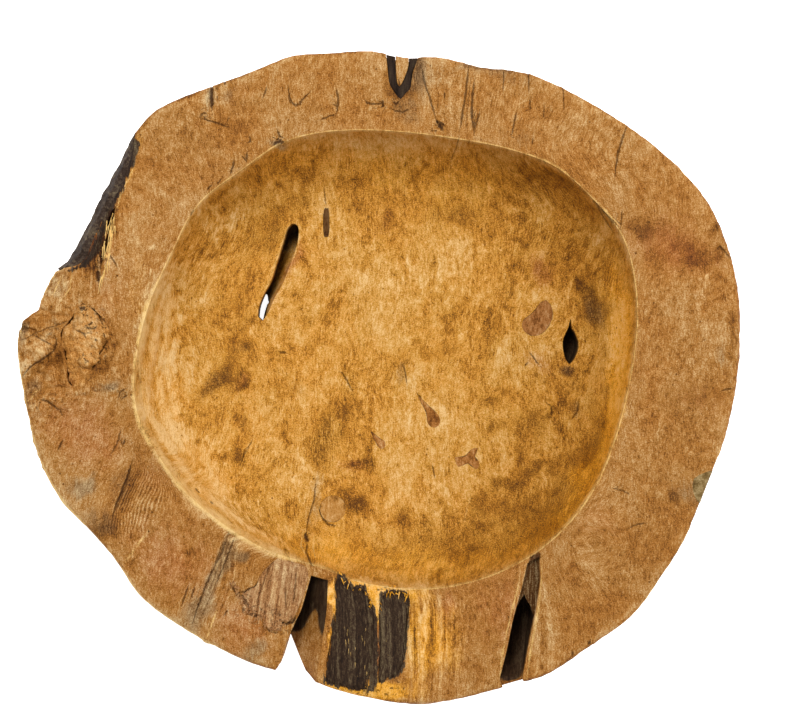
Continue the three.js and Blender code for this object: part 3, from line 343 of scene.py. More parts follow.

# Drawn lines in the wood: half width, then the points along it
# Dark cracks; a few are painted shadow along the flake's lifted foot and in the burl's creases
CRACKS = (
    (1.66, ((-138.1, 243), (-138.5, 233.1), (-138.1, 221.5))), (0.75, ((-148.8, 215.7), (-137.2, 211.6),
    (-123.2, 207))), (0.66, ((-148.8, 215.7), (-145.5, 219), (-142.2, 218.2))), (0.66, ((-127.6, 247.2),
    (-127.3, 242.2))), (0.58, ((-124, 215.7), (-125.6, 211.6))), (0.66, ((-92.5, 241.4), (-94.2, 236.4),
    (-95.8, 231.4))), (0.75, ((-75.1, 242.2), (-74.3, 233.9), (-72.7, 228.1), (-68.5, 224.8),
    (-62.7, 230.6), (-56.1, 237.2))), (0.58, ((-68.5, 224.8), (-63.5, 227.3))), (0.75, ((-35.4, 240.5),
    (-33.7, 232.3), (-33.7, 224.8), (-35.4, 216.5))), (0.75, ((-35.4, 217.3), (-41.2, 216.5),
    (-44.5, 214.9), (-48.6, 213.2))), (0.58, ((-37.9, 226.5), (-33.7, 224))), (0.75, ((-11.4, 230.6),
    (-9.7, 227.3), (-3.9, 226.5), (3.5, 226.5))), (1.16, ((2.7, 229.8), (3.5, 224.8), (1, 224))),
    (0.58, ((8.5, 223.1), (14.3, 220.7), (19.3, 219.8))), (1.32, ((-87.6, 192.5), (-82.6, 195.8),
    (-77.6, 193.3))), (0.83, ((-84.2, 205.8), (-82.6, 200), (-78.5, 198.3))), (0.83, ((-107.4, 200),
    (-105.8, 196.6), (-108.3, 194.2))), (0.75, ((-109.1, 186.7), (-109.9, 177.6))),
    (0.75, ((-113.2, 183.4), (-110.7, 180.1))), (0.83, ((-119.9, 180.9), (-120.7, 175.1),
    (-123.2, 167.7))), (0.66, ((-129.8, 165.2), (-133.9, 160.2))), (0.66, ((-138.1, 160.2),
    (-142.2, 155.2))), (0.66, ((-153, 139.5), (-156.3, 133.7))), (0.75, ((75, 260.4), (71.4, 231.4),
    (66.9, 202.4))), (0.37, ((66.9, 200.8), (64, 190), (58.2, 175.9))), (0.91, ((79.7, 248), (77.6, 233.9),
    (76.9, 219.8), (78.9, 200.8))), (0.66, ((83.8, 220.7), (81.4, 213.2), (79.7, 204.1))),
    (1.16, ((77.2, 223.1), (77.2, 213.2))), (0.75, ((35.4, 259.6), (37.5, 246.3), (42, 232.3),
    (47.4, 214))), (1.49, ((47.4, 214), (50.7, 208.2), (53.2, 204.1))), (0.99, ((49.1, 212.4),
    (54.9, 208.2))), (0.75, ((54.4, 236.4), (54.4, 231.4))), (0.75, ((114.2, 219.8), (112, 211.6),
    (110.3, 199.1))), (1.08, ((109.5, 200), (111.2, 199.1))), (0.66, ((127.7, 198.3), (126.9, 192.5))),
    (0.5, ((125.6, 232.3), (125.2, 219.8))), (0.5, ((136.8, 225.6), (136.8, 214.9))),
    (0.41, ((152.6, 241.4), (153.4, 221.5))), (0.5, ((103.7, 254.6), (102.9, 236.4))), (0.5, ((123.6, 253),
    (124.4, 236.4))), (0.75, ((205.6, 209.1), (201.4, 196.6), (198.1, 185.9), (195.2, 165.2))),
    (0.66, ((177.4, 147.8), (186.5, 137), (194, 129.6), (198.9, 124.6))), (0.5, ((201.4, 139.5),
    (201, 130.4), (200.2, 123))), (0.58, ((178.2, 146.1), (185.7, 133.7), (194.8, 119.6))),
    (0.58, ((283.4, -11.2), (288.4, -9.5), (293.3, -9.5))), (0.5, ((193.1, -91.5), (200.6, -93.1),
    (208, -96.9))), (0.5, ((206.4, -124.6), (216.3, -121.3), (221.3, -120.5))), (0.58, ((279.2, 127.1),
    (280.9, 120.5))), (0.58, ((279.2, 105.6), (282.6, 108.9), (291.7, 98.1))), (1.16, ((173.3, -221.5),
    (174.9, -218.2))), (0.83, ((160.8, -230.6), (160, -226.5))), (2.15, ((-221.3, 141.2), (-222.5, 133.7),
    (-225, 125.4), (-225.8, 118.8))), (1.66, ((-226.7, 120.5), (-227.5, 108.9), (-230, 95.6),
    (-230.8, 90.7))), (0.83, ((-220.9, 128.8), (-222.5, 115.5), (-225, 105.6))), (0.83, ((-230.8, 117.2),
    (-232.5, 105.6), (-235.8, 95.6))), (0.66, ((-225, 105.6), (-220.9, 98.9), (-216.7, 91.5))),
    (1.99, ((-232.9, 89), (-232.5, 84), (-232, 79.1))), (0.66, ((-234.9, 95.6), (-233.3, 89))),
    (0.75, ((-227.5, 103.9), (-230.8, 95.6))), (0.91, ((-296.2, -1.2), (-290.4, 7), (-285, 11.2),
    (-274.2, 17.8), (-268.1, 23.6), (-266.8, 31), (-268.9, 36.8))), (0.41, ((-298.7, 30.2), (-292.9, 31.9),
    (-286.3, 36), (-273.9, 41), (-264.8, 43.9), (-259, 46), (-248.2, 50.1))), (0.58, ((-286.3, 36),
    (-278.8, 31), (-273.9, 28.6), (-268.9, 26.1))), (1.49, ((-248.2, 58.4), (-245.7, 56.7),
    (-242.4, 58.4))), (0.75, ((-250.7, 39.3), (-244.9, 36.8), (-242.4, 32.7))), (0.75, ((-242.4, 41),
    (-235.8, 40.2), (-233.3, 43.5))), (0.75, ((-244.9, 16.1), (-239.9, 12.8))), (0.66, ((-231.6, 49.3),
    (-227.5, 42.6))), (0.83, ((-280.5, -18.6), (-274.7, -19.5), (-269.7, -22.8), (-266.4, -26.1),
    (-261.4, -26.9))), (0.58, ((-264.8, -26.9), (-261.4, -31.9))), (0.83, ((-265.6, -60),
    (-261.4, -51.8))), (0.66, ((-213.4, -43.5), (-216.7, -55.1), (-222.1, -64.2))),
    (0.83, ((-210.5, -51.8), (-212.2, -56.7))), (0.58, ((-209.3, -8.7), (-214.2, -12.8), (-215.9, -17.8))),
    (0.58, ((-208.4, -14.5), (-213.4, -18.6))), (0.99, ((-203.5, -67.5), (-208.4, -83.2), (-216.7, -103.9),
    (-220.9, -115.5))), (0.75, ((-157.1, -171), (-160.4, -180.9), (-163.7, -190))),
    (0.58, ((-152.1, -172.6), (-156.3, -184.2))), (0.66, ((-124, -127.9), (-129.8, -144.5), (-138.1, -161),
    (-144.7, -175.9), (-151.3, -194.2), (-154.6, -205.8))), (0.5, ((-119, -131.2), (-126.5, -151.1),
    (-134.8, -171))), (0.41, ((-128.1, -134.5), (-136.4, -156.1))), (1.32, ((-110.7, -185.1),
    (-107.4, -190), (-106.6, -195), (-100.8, -197.5), (-96.7, -201.6))), (0.66, ((-93.4, -207.4),
    (-89.2, -210.7), (-83.4, -211.6))), (1.24, ((-80.9, -202.4), (-76, -204.1), (-71, -202.4),
    (-67.7, -196.6))), (0.66, ((-124.8, -192.5), (-128.1, -197.5))), (0.83, ((-123.5, -169.3),
    (-119.9, -175.9), (-116.2, -179.3), (-113.2, -184.2))), (0.66, ((-116.5, -179.3), (-109.1, -175.9),
    (-104.9, -173.5))), (0.75, ((-32.9, 5.4), (-29.6, 2.9), (-24.6, -5.4), (-22.1, -11.2))),
    (0.58, ((19.3, 12), (21.7, 4.6), (23.4, -5.4))), (0.66, ((124.4, 21.1), (128.5, 16.1), (132.7, 10.3))),
    (0.5, ((120.3, 8.7), (123.6, 12.8))), (0.66, ((31.7, -12.8), (35, -17.8))), (0.83, ((-82.6, 21.1),
    (-76, 20.3))), (0.66, ((44.1, -72.5), (46.6, -83.2))), (0.5, ((-109.9, -62.5), (-104.9, -51.8))),
    (0.5, ((-114.1, -70.8), (-109.9, -58.4))), (1.82, ((-60.7, -127.9), (-60.2, -132.9), (-58.6, -136.2))),
    (0.83, ((-58.6, -136.2), (-60.2, -144.5), (-56.9, -152.8), (-53.6, -156.9))), (0.58, ((-60.2, -127.1),
    (-57.8, -115.5), (-53.6, -101.4), (-52, -86.5))), (0.5, ((-50.3, -105.6), (-47.8, -113.8),
    (-41.2, -121.3), (-34.6, -123))), (1.08, ((-47.8, -115.5), (-42, -121.3), (-35.4, -123))),
    (0.5, ((165.8, -18.6), (164.2, -28.6), (159.2, -35.2))), (0.41, ((138.5, -20.3), (143.5, -25.3),
    (142.6, -33.5))), (0.83, ((-152.1, -91.5), (-148, -95.6))), (1.24, ((8.9, 266.2), (9.7, 251.3),
    (14.3, 238), (17.6, 232.3))), (0.99, ((28.4, 262.9), (26.7, 249.6), (21.7, 238.9))),
    (1.08, ((11.8, 228.9), (14.3, 226), (16.8, 228.9))), (0.75, ((15.1, 221.5), (20.1, 219.8),
    (25, 222.3))), (0.91, ((16.8, 233.9), (19.3, 231.4))), (1.49, ((124.8, -154.4), (126.9, -149.5),
    (129.4, -146.1))), (1.49, ((128.5, -153.6), (130.2, -148.6), (131.4, -145.3))),
    (1.32, ((132.3, -151.9), (132.7, -147.8), (132.3, -144.5))), (1.24, ((126.5, -153.6),
    (128.5, -148.6))), (0.66, ((-139.7, -102.3), (-137.2, -104.7))), (0.5, ((-43.7, 142), (-44.5, 150.3),
    (-45.3, 158.6))),
)
# Cracks in the flake; those along its lower left foot are painted shadow under its lifted edge
FLAKE_CRACKS = (
    (0.99, ((-106.6, -190.9), (-104.1, -196.6), (-98.3, -198.3), (-95, -204.1))), (0.83, ((-80.9, -202.4),
    (-76, -204.1), (-71.8, -201.6))), (0.41, ((-87.6, -149.5), (-91.7, -159.4), (-95, -168.5),
    (-101.6, -186.7))), (0.41, ((-77.6, -175.9), (-76.8, -192.5))), (0.41, ((-68.5, -158.6),
    (-69.3, -172.6), (-71, -186.7))), (0.66, ((-120.7, -169.3), (-114.9, -179.3), (-108.3, -188.4),
    (-105.8, -197.5))),
)
# Pale worn lines
PALE_LINES = (
    (1.32, ((-189.8, -125.4), (-200.2, -139.5), (-210.9, -154.4))), (0.83, ((-133.1, -190.9),
    (-138.9, -205.8), (-143.9, -219))), (0.75, ((-191.1, 64.2), (-195.2, 39.3), (-198.5, 14.5),
    (-196.9, -10.3), (-191.9, -31))), (0.66, ((-194.4, 39.3), (-199.3, 26.9), (-202.7, 12.8))),
    (0.99, ((-76, 123.8), (-80.9, 107.2), (-86.7, 92.3), (-91.7, 77.4), (-96.7, 66.7))),
    (0.75, ((-65.2, 123.8), (-66.9, 108.9), (-71.8, 95.6))), (0.91, ((-71, 127.1), (-76, 123))),
    (0.91, ((-71, 127.1), (-65.2, 123))), (0.66, ((143.5, 60), (144.3, 49.3), (138.5, 37.7),
    (131.9, 33.5))), (0.58, ((-50.3, -104.7), (-47, -113), (-40.4, -119.6))), (1.08, ((135.2, -152.8),
    (134.3, -171.8), (131.9, -194.2), (126.1, -224), (121.9, -253.8))), (0.91, ((117.8, -159.4),
    (114.5, -177.6), (108.7, -199.1), (102.9, -225.6), (99.6, -253.8))), (0.75, ((178.2, 148.6),
    (188.2, 137.9), (199.8, 125.4))), (0.83, ((76.4, -94.8), (73.9, -106.4), (69.8, -121.3))),
    (0.75, ((-57.8, -152.8), (-64.4, -139.5), (-62.7, -126.3))), (0.75, ((-52, -151.1), (-54.4, -141.2),
    (-53.6, -129.6))), (0.75, ((-218.4, 143.7), (-219.2, 128.8), (-220.9, 113.8), (-222.5, 103.9))),
    (0.66, ((-220.9, 105.6), (-223.4, 115.5), (-222.5, 128.8))), (0.75, ((-227.5, 95.6), (-230, 107.2),
    (-228.3, 120.5))), (0.58, ((-233.3, 89), (-233.3, 98.9))), (0.83, ((-201, 177.6), (-207.6, 165.2),
    (-214.2, 150.3), (-216.7, 138.7))), (0.58, ((-262.3, 64.2), (-255.6, 74.1), (-254, 89))),
    (0.5, ((-272.2, 64.2), (-265.6, 77.4), (-259, 89))), (0.5, ((-287.1, -13.7), (-278.8, -8.7))),
    (0.5, ((-292.1, -20.3), (-285.5, -15.3))),
)
# Loops round what is charred black
CHAR_LOOPS = (
    ((-202.7, 196.6), (-198.5, 194.2), (-205.1, 174.3), (-213.4, 152.8), (-221.7, 135.4), (-228.3, 117.2),
    (-233.3, 102.3), (-242.4, 90.7), (-257.3, 88.2), (-247.4, 94), (-237.4, 105.6), (-233.3, 118),
    (-227.5, 136.2), (-219.2, 156.1), (-210.1, 177.6)), ((-3.1, -197.5), (-1, -199.1), (-1.4, -225.6),
    (-3.5, -258.8), (-7.2, -258.8), (-4.8, -225.6)), ((-34.6, -162.7), (-28.8, -164.4), (-23.8, -171),
    (-21.3, -175.1), (-18, -171.8), (-11.4, -172.6), (-8.9, -181.7), (-6.4, -186.7), (-3.9, -190.9),
    (-3.1, -204.9), (-3.9, -221.5), (-6.4, -239.7), (-9.7, -250.5), (-10.6, -260.4), (-18.8, -258.8),
    (-27.9, -257.1), (-36.2, -255.4), (-44.5, -253), (-43.7, -239.7), (-39.5, -215.7), (-37.1, -200.8),
    (-34.6, -182.6), (-36.2, -171.8)), ((2.7, -179.3), (6.8, -177.6), (12.6, -175.9), (19.3, -177.6),
    (23.4, -179.3), (25, -184.2), (24.2, -194.2), (23.4, -203.3), (21.7, -221.5), (20.1, -239.7),
    (16.8, -244.7), (12.6, -249.6), (7.7, -248), (4.3, -251.3), (-0.6, -252.1), (0.2, -239.7),
    (0.2, -227.3), (0.2, -209.1), (0.2, -198.3), (2.7, -189.2)),
)


# Shapes as arrays of corners and triangles

def plain_mesh(name):
    """The corners and triangles of a CAD node in millimetres, with doubled corners joined."""
    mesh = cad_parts[name].data
    mesh.calc_loop_triangles()
    corners = np.empty(len(mesh.vertices) * 3, np.float32)
    mesh.vertices.foreach_get("co", corners)
    faces = np.empty(len(mesh.loop_triangles) * 3, np.int32)
    mesh.loop_triangles.foreach_get("vertices", faces)
    corners = corners.reshape(-1, 3).astype(float) * MM
    keys = np.round(corners * WELD_STEPS).astype(np.int64)
    first, back = np.unique(keys, axis=0, return_index=True, return_inverse=True)[1:]
    faces = back.ravel()[faces.reshape(-1, 3)]
    whole = (faces != np.roll(faces, 1, axis=1)).all(axis=1)
    return corners[first], faces[whole]


def edges_of(faces):
    """Every edge once, and for each face the numbers of its three edges."""
    pairs = np.sort(faces[:, [0, 1, 1, 2, 2, 0]].reshape(-1, 2), axis=1)
    keys = pairs[:, 0] * (faces.max() + 1) + pairs[:, 1]
    first, back = np.unique(keys, return_index=True, return_inverse=True)[1:]
    return pairs[first], back.reshape(-1, 3)


def face_normals(points, faces):
    """The unit normal of each face, and its area."""
    a, b, c = points[faces[:, 0]], points[faces[:, 1]], points[faces[:, 2]]
    cross = np.cross(b - a, c - a)
    size = np.linalg.norm(cross, axis=1)
    return cross / np.maximum(size, 1e-12)[:, None], size / 2


def point_normals(points, faces):
    """The unit normal at each corner, weighted by area."""
    normal, area = face_normals(points, faces)
    total = np.zeros_like(points)
    for corner in range(3):
        for axis in range(3):
            total[:, axis] += np.bincount(faces[:, corner], normal[:, axis] * area, len(points))
    return total / np.maximum(np.linalg.norm(total, axis=1), 1e-12)[:, None]


def split_faces(points, faces, middles):
    """Faces split at the middles of their sides; a middle of -1 is a side left whole."""
    split = middles >= 0
    count = split.sum(axis=1)
    parts = [faces[count == 0]]

    def turned(chosen, turn):
        """Corners and middles of the chosen faces, each started at its own turn."""
        order = (turn[:, None] + np.arange(3)) % 3
        rows = np.arange(len(turn))[:, None]
        return faces[chosen][rows, order].T, middles[chosen][rows, order].T

    one = count == 1
    (a, b, c), (m, _, _) = turned(one, np.argmax(split[one], axis=1))
    parts += [np.stack([a, m, c], 1), np.stack([m, b, c], 1)]
    two = count == 2
    (a, b, c), (m, n, _) = turned(two, (np.argmin(split[two], axis=1) + 1) % 3)
    parts.append(np.stack([m, b, n], 1))
    near = np.linalg.norm(points[a] - points[n], axis=1) < np.linalg.norm(points[m] - points[c], axis=1)
    parts.append(np.where(near[:, None], np.stack([a, m, n], 1), np.stack([a, m, c], 1)))
    parts.append(np.where(near[:, None], np.stack([a, n, c], 1), np.stack([m, n, c], 1)))
    three = count == 3
    (a, b, c), (m, n, o) = faces[three].T, middles[three].T
    parts += [np.stack(corners, 1) for corners in ((a, m, o), (m, b, n), (o, n, c), (m, n, o))]
    return np.concatenate(parts)


def split_long(points, faces, spacing):
    """Splits edges until none is longer than the spacing of either face beside it."""
    for _ in range(MOST_SPLITS):
        edges, sides = edges_of(faces)
        allowed = np.full(len(edges), np.inf)
        per_face = spacing(points, faces)
        for side in range(3):
            np.minimum.at(allowed, sides[:, side], per_face)
        long = np.linalg.norm(points[edges[:, 0]] - points[edges[:, 1]], axis=1) > allowed
        if not long.any():
            break
        number = np.full(len(edges), -1)
        number[long] = len(points) + np.arange(long.sum())
        points = np.concatenate([points, points[edges[long]].mean(axis=1)])
        faces = split_faces(points, faces, number[sides])
    return points, faces


def hard_edges(points, faces):
    """All edges, and which of them bend by more than the sharp angle."""
    edges, sides = edges_of(faces)
    normal = face_normals(points, faces)[0]
    order = np.argsort(sides.ravel(), kind="stable")
    beside = np.repeat(np.arange(len(faces)), 3)[order].reshape(-1, 2)
    bend = (normal[beside[:, 0]] * normal[beside[:, 1]]).sum(axis=1)
    return edges, bend < math.cos(math.radians(SHARP_ANGLE))


def neighbour_mean(values, edges):
    """The mean of the values at the corners joined to each corner."""
    count = np.bincount(edges.ravel(), minlength=len(values))
    total = np.empty_like(values)
    for axis in range(values.shape[1]):
        total[:, axis] = np.bincount(edges[:, 0], values[edges[:, 1], axis], len(values))
        total[:, axis] += np.bincount(edges[:, 1], values[edges[:, 0], axis], len(values))
    return total / np.maximum(count, 1)[:, None]


def ease(points, faces, rounds):
    """Smooths the facets away; hard edges stay, and are smoothed along their own run."""
    edges, hard = hard_edges(points, faces)
    ridge = edges[hard]
    on_ridge = np.bincount(ridge.ravel(), minlength=len(points))
    fixed = (on_ridge > 0) & (on_ridge != 2)
    for _ in range(rounds):
        mean = neighbour_mean(points, edges)
        along = neighbour_mean(points, ridge)
        moved = np.where((on_ridge == 2)[:, None], along, mean)
        moved[fixed] = points[fixed]
        points = points + 0.5 * (moved - points)
    return points


def away_from_edges(points, faces, rounds=4):
    """0 at hard edges, rising to 1 a few corners away from them."""
    edges, hard = hard_edges(points, faces)
    near = np.zeros((len(points), 1))
    near[edges[hard].ravel()] = 1
    for _ in range(rounds):
        near = 0.5 * near + 0.5 * neighbour_mean(near, edges)
    return 1 - fade(near[:, 0], 0.0, 0.12)


# Fields over the plan

def noise(places, seed):
    """Smooth noise from -1 to 1, with cells one unit wide."""
    base = np.floor(places).astype(np.int64)
    part = places - base
    part = part * part * (3 - 2 * part)
    total = np.zeros(len(places))
    primes = (73856093, 19349663, 83492791)
    for corner in itertools.product((0, 1), repeat=places.shape[1]):
        key = np.full(len(places), seed * 2654435761 % 4294967296, np.int64)
        weight = np.ones(len(places))
        for axis, step in enumerate(corner):
            key ^= (base[:, axis] + step) * primes[axis]
            weight *= part[:, axis] if step else 1 - part[:, axis]
        key = ((key ^ (key >> 13)) * 1274126177) & 0x7FFFFFFF
        key = ((key ^ (key >> 15)) * 60493) & 0x7FFFFFFF
        total += weight * ((key >> 8) & 0xFFFF) / 32767.5
    return total - 1


def rough(places, seed, layers=3):
    """Layered noise from about -1 to 1, each layer twice as fine and half as strong."""
    return sum(noise(places * 2 ** n, seed + n) / 2 ** n for n in range(layers)) / 1.5


def fade(values, low, high):
    """0 below low, 1 above high, and smooth between."""
    share = np.clip((values - low) / (high - low), 0, 1)
    return share * share * (3 - 2 * share)


def seen_plan(points):
    """Plan places as the marks were read: drawn in towards the reading point below the rim."""
    share = READ_HEIGHT / (READ_HEIGHT + RIM_HEIGHT - points[:, 2])
    return READ_OVER + (points[:, :2] - READ_OVER) * share[:, None]


def ovals(plan, marks, sharpness=1.0):
    """Adds up soft oval marks."""
    total = np.zeros(len(plan))
    for x, y, length, width, turn, strength in marks:
        c, s = math.cos(math.radians(turn)), math.sin(math.radians(turn))
        dx, dy = plan[:, 0] - x, plan[:, 1] - y
        away = ((dx * c + dy * s) / length) ** 2 + ((dy * c - dx * s) / width) ** 2
        total += strength * np.exp(-0.7 * np.minimum(away, 30) ** sharpness)
    return total


def path_gaps(plan, path):
    """For each step of a path: the offset to its nearest point, and that point's share of the path."""
    path = np.array(path, float)
    step = np.linalg.norm(np.diff(path, axis=0), axis=1)
    start = np.concatenate([[0], np.cumsum(step)])
    for n, length in enumerate(step):
        along = (path[n + 1] - path[n]) / length
        offset = plan - path[n]
        run = np.clip(offset @ along, 0, length)
        side = np.where(offset[:, 0] * along[1] - offset[:, 1] * along[0] < 0, -1.0, 1.0)
        yield side, np.linalg.norm(offset - run[:, None] * along, axis=1), (start[n] + run) / start[-1]


def nearest_line(plan, lines, reach=6.0):
    """The signed distance to the nearest line, and that line's half width where it is within reach."""
    best = np.full(len(plan), np.inf)
    signed = np.full(len(plan), reach)
    width = np.zeros(len(plan))
    for half, path in lines:
        low, high = np.min(path, axis=0) - reach, np.max(path, axis=0) + reach
        near = np.flatnonzero(((plan > low) & (plan < high)).all(axis=1))
        for side, away, share in path_gaps(plan[near], path):
            taper = np.clip(np.minimum(share, 1 - share) * 5, 0.12, 1)
            closer = away < best[near]
            chosen = near[closer]
            best[chosen] = away[closer]
            signed[chosen] = (side * away)[closer]
            width[chosen] = (half * taper)[closer]
    width[best > reach * 0.8] = 0
    return np.clip(signed, -reach, reach), width


def loop_depth(plan, loops, reach=12.0):
    """How far each place lies inside the nearest loop, or less than nothing outside all of them."""
    depth = np.full(len(plan), -reach)
    for loop in loops:
        closed = [*loop, loop[0]]
        inside = np.zeros(len(plan), bool)
        for (x0, y0), (x1, y1) in zip(closed, closed[1:]):
            crosses = (y0 > plan[:, 1]) != (y1 > plan[:, 1])
            at = x0 + (plan[:, 1] - y0) * (x1 - x0) / ((y1 - y0) or 1e-9)
            inside ^= crosses & (plan[:, 0] < at)
        away = np.min([gap for _, gap, _ in path_gaps(plan, closed)], axis=0)
        depth = np.maximum(depth, np.where(inside, away, -away))
    return np.clip(depth, -reach, reach)


def round_reach(ring, plan):
    """How far a ring of places reaches from the dish's middle, at the angle of each plan place."""
    out = ring - DISH_MIDDLE
    angle = np.arctan2(out[:, 1], out[:, 0])
    order = np.argsort(angle)
    at = plan - DISH_MIDDLE
    turn = np.arctan2(at[:, 1], at[:, 0])
    return np.interp(turn, angle[order], np.hypot(out[:, 0], out[:, 1])[order], period=2 * math.pi)


@functools.lru_cache
def bowl_rings():
    """Plan places on the dish's lip and on the outer edge of the CAD root."""
    points, faces = plain_mesh("carved_root")
    normal = face_normals(points, faces)[0]
    inward = (normal[:, :2] * (DISH_MIDDLE - points[faces, :2].mean(axis=1))).sum(axis=1) > 0
    wall = faces[inward & (normal[:, 2] > 0.03) & (normal[:, 2] < 0.7)]
    rim_corners = np.unique(wall[points[wall, 2] > RIM_HEIGHT - 0.05])
    lip = points[rim_corners, :2]
    lip = lip[np.abs(lip - DISH_MIDDLE).max(axis=1) < DISH_REACH]
    out = points[:, :2] - DISH_MIDDLE
    turn = np.floor(np.degrees(np.arctan2(out[:, 1], out[:, 0])) / 2)
    far = np.hypot(out[:, 0], out[:, 1])
    order = np.lexsort((far, turn))
    last = order[np.r_[turn[order][1:] != turn[order][:-1], True]]
    beside = np.max([np.roll(far[last], step) for step in (-2, -1, 1, 2)], axis=0)
    # Corners that lie further in than those beside them belong to cuts, not to the edge
    return lip, points[last[far[last] > 0.94 * beside], :2]


def grain_places(points, plan):
    """Places across and along the grain: straight along Y, tilted in places and bent round knots."""
    across = plan[:, 0].copy()
    for x, y, length, width, turn, pull in GRAIN_TILTS:
        across += pull * ovals(plan, [(x, y, length, width, turn, 1.0)]) * (plan[:, 1] - y)
    for x, y, radius, pull in GRAIN_KNOTS:
        out = plan - np.array([x, y])
        across -= pull * np.exp(-(out ** 2).sum(axis=1) / radius ** 2) * out[:, 0]
    for x, y, radius in PITHS:
        out = plan - np.array([x, y])
        share = np.exp(-(out ** 2).sum(axis=1) / radius ** 2)
        across += share * (np.hypot(out[:, 0], 1.3 * out[:, 1]) - out[:, 0])
    across += 2.5 * rough(plan / 70, 31)
    return np.stack([across, plan[:, 1], points[:, 2] * 0.4], axis=1)


def lumps(points):
    """Rounded lumps with creases between them, as on burl wood, and how near each corner is to a crease."""
    swell = np.abs(noise(points / 15 + 0.6 * noise(points / 9, 52)[:, None], 51))
    small = np.abs(noise(points / 6, 53))
    return 7.0 * swell + 2.4 * small - 2.6, fade(0.14 - swell, 0, 0.14) + 0.5 * fade(0.1 - small, 0, 0.1)


# Materials

def linear(red, green, blue):
    """A screen colour, 0 to 255 a channel, as linear light."""
    channels = np.array([red, green, blue]) / 255
    return tuple(np.where(channels < 0.04045, channels / 12.92, ((channels + 0.055) / 1.055) ** 2.4))


PALE_WOOD = np.array([1.0, 0.77, 0.4])


def shades(colour, glow=1.0):
    """Five ramp stops from dark to pale round one colour."""
    middle = np.array(colour)
    stops = [middle * (0.16, 0.125, 0.11), middle * (0.49, 0.42, 0.32), middle]
    stops += [middle + glow * share * (PALE_WOOD - middle) for share in (0.22, 0.55)]
    return [(n / 4, tuple(stop)) for n, stop in enumerate(stops)]


def put_node(tree, kind, values, **settings):
    """Adds a node with its settings, values and links to a tree, and gives its outputs."""
    made = tree.nodes.new(kind)
    for key, value in settings.items():
        setattr(made, key, value)
    for key, value in values.items():
        if isinstance(value, bpy.types.NodeSocket):
            tree.links.new(value, made.inputs[key])
        else:
            made.inputs[key].default_value = value
    return made.outputs


class Paint:
    """Builds one material's nodes, a step at a time."""

    def __init__(self, name):
        """Starts an empty material."""
        self.material = bpy.data.materials.new(name)
        self.material.use_nodes = True
        self.tree = self.material.node_tree
        self.tree.nodes.clear()

    def put(self, kind, values, output=0, **settings):
        """Adds a node and gives one of its outputs."""
        return put_node(self.tree, kind, values, **settings)[output]

    def value(self, name):
        """A number kept at the mesh's corners."""
        return self.put("ShaderNodeAttribute", {}, "Fac", attribute_name=name)

    def vector(self, name):
        """A vector kept at the mesh's corners."""
        return self.put("ShaderNodeAttribute", {}, "Vector", attribute_name=name)

    def place(self):
        """The place on the piece, in metres."""
        return self.put("ShaderNodeTexCoord", {}, "Object")

    def stretch(self, vector, scale):
        """A place with each axis scaled."""
        return self.put("ShaderNodeVectorMath", {0: vector, 1: scale}, operation="MULTIPLY")

    def calc(self, operation, first, second=0.0, third=0.0):
        """One sum of up to three numbers."""
        return self.put("ShaderNodeMath", {0: first, 1: second, 2: third}, operation=operation)

    def total(self, start, *shares):
        """A start value plus each value times its weight."""
        for value, weight in shares:
            start = self.calc("MULTIPLY_ADD", value, weight, start)
        return start

    def grain(self, vector, scale, detail=3.0, roughness=0.6, distortion=0.0):
        """Noise about zero."""
        values = {"Vector": vector, "Scale": scale, "Detail": detail}
        values.update({"Roughness": roughness, "Distortion": distortion})
        return self.calc("SUBTRACT", self.put("ShaderNodeTexNoise", values, "Fac"), 0.5)

    def waves(self, vector, scale):
        """Wavy bands across the first axis, about zero."""
        values = {"Vector": vector, "Scale": scale, "Distortion": 9.0, "Detail": 3.0, "Detail Scale": 0.5}
        return self.calc("SUBTRACT", self.put("ShaderNodeTexWave", values, "Fac"), 0.5)

    def spots(self, vector, scale):
        """Distance from scattered points, in shares of their spacing."""
        return self.put("ShaderNodeTexVoronoi", {"Vector": vector, "Scale": scale}, "Distance")

    def fade(self, value, low, high, start=0.0, end=1.0):
        """From start below low to end above high, and smooth between."""
        values = {"Value": value, "From Min": low, "From Max": high, "To Min": start, "To Max": end}
        return self.put("ShaderNodeMapRange", values, interpolation_type="SMOOTHSTEP")

    def mix(self, factor, first, second, blend="MIX"):
        """The first colour, turned by a share into its blend with the second."""
        values = {0: factor, 6: first, 7: second}
        return self.put("ShaderNodeMix", values, 2, data_type="RGBA", blend_type=blend)

    def ramp(self, factor, stops):
        """A colour looked up between stops."""
        made = self.put("ShaderNodeValToRGB", {"Fac": factor})
        ramp = made.node.color_ramp
        while len(ramp.elements) < len(stops):
            ramp.elements.new(0.5)
        for element, (at, colour) in zip(ramp.elements, stops):
            element.position = at
            element.color = (*colour, 1)
        return made

    def line(self, name, wobble, low, high):
        """1 on the drawn line whose signed distance and half width are kept under a name, 0 beside it."""
        away = self.calc("ABSOLUTE", self.calc("ADD", self.value(name), wobble))
        width = self.calc("ADD", self.value(name + "_width"), 0.00001)
        return self.fade(self.calc("DIVIDE", away, width), low, high, 1.0, 0.0)

    def finish(self, colour, roughness, height, depth, shine):
        """Joins the looks to the shader, and gives the material."""
        bump = self.put("ShaderNodeBump", {"Strength": 1.0, "Distance": depth, "Height": height})
        values = {"Base Color": colour, "Roughness": roughness, "Normal": bump, "Specular IOR Level": shine}
        self.put_output(self.put("ShaderNodeBsdfPrincipled", values))
        return self.material

    def put_output(self, shader):
        """Joins a shader to the material's output."""
        put_node(self.tree, "ShaderNodeOutputMaterial", {"Surface": shader})


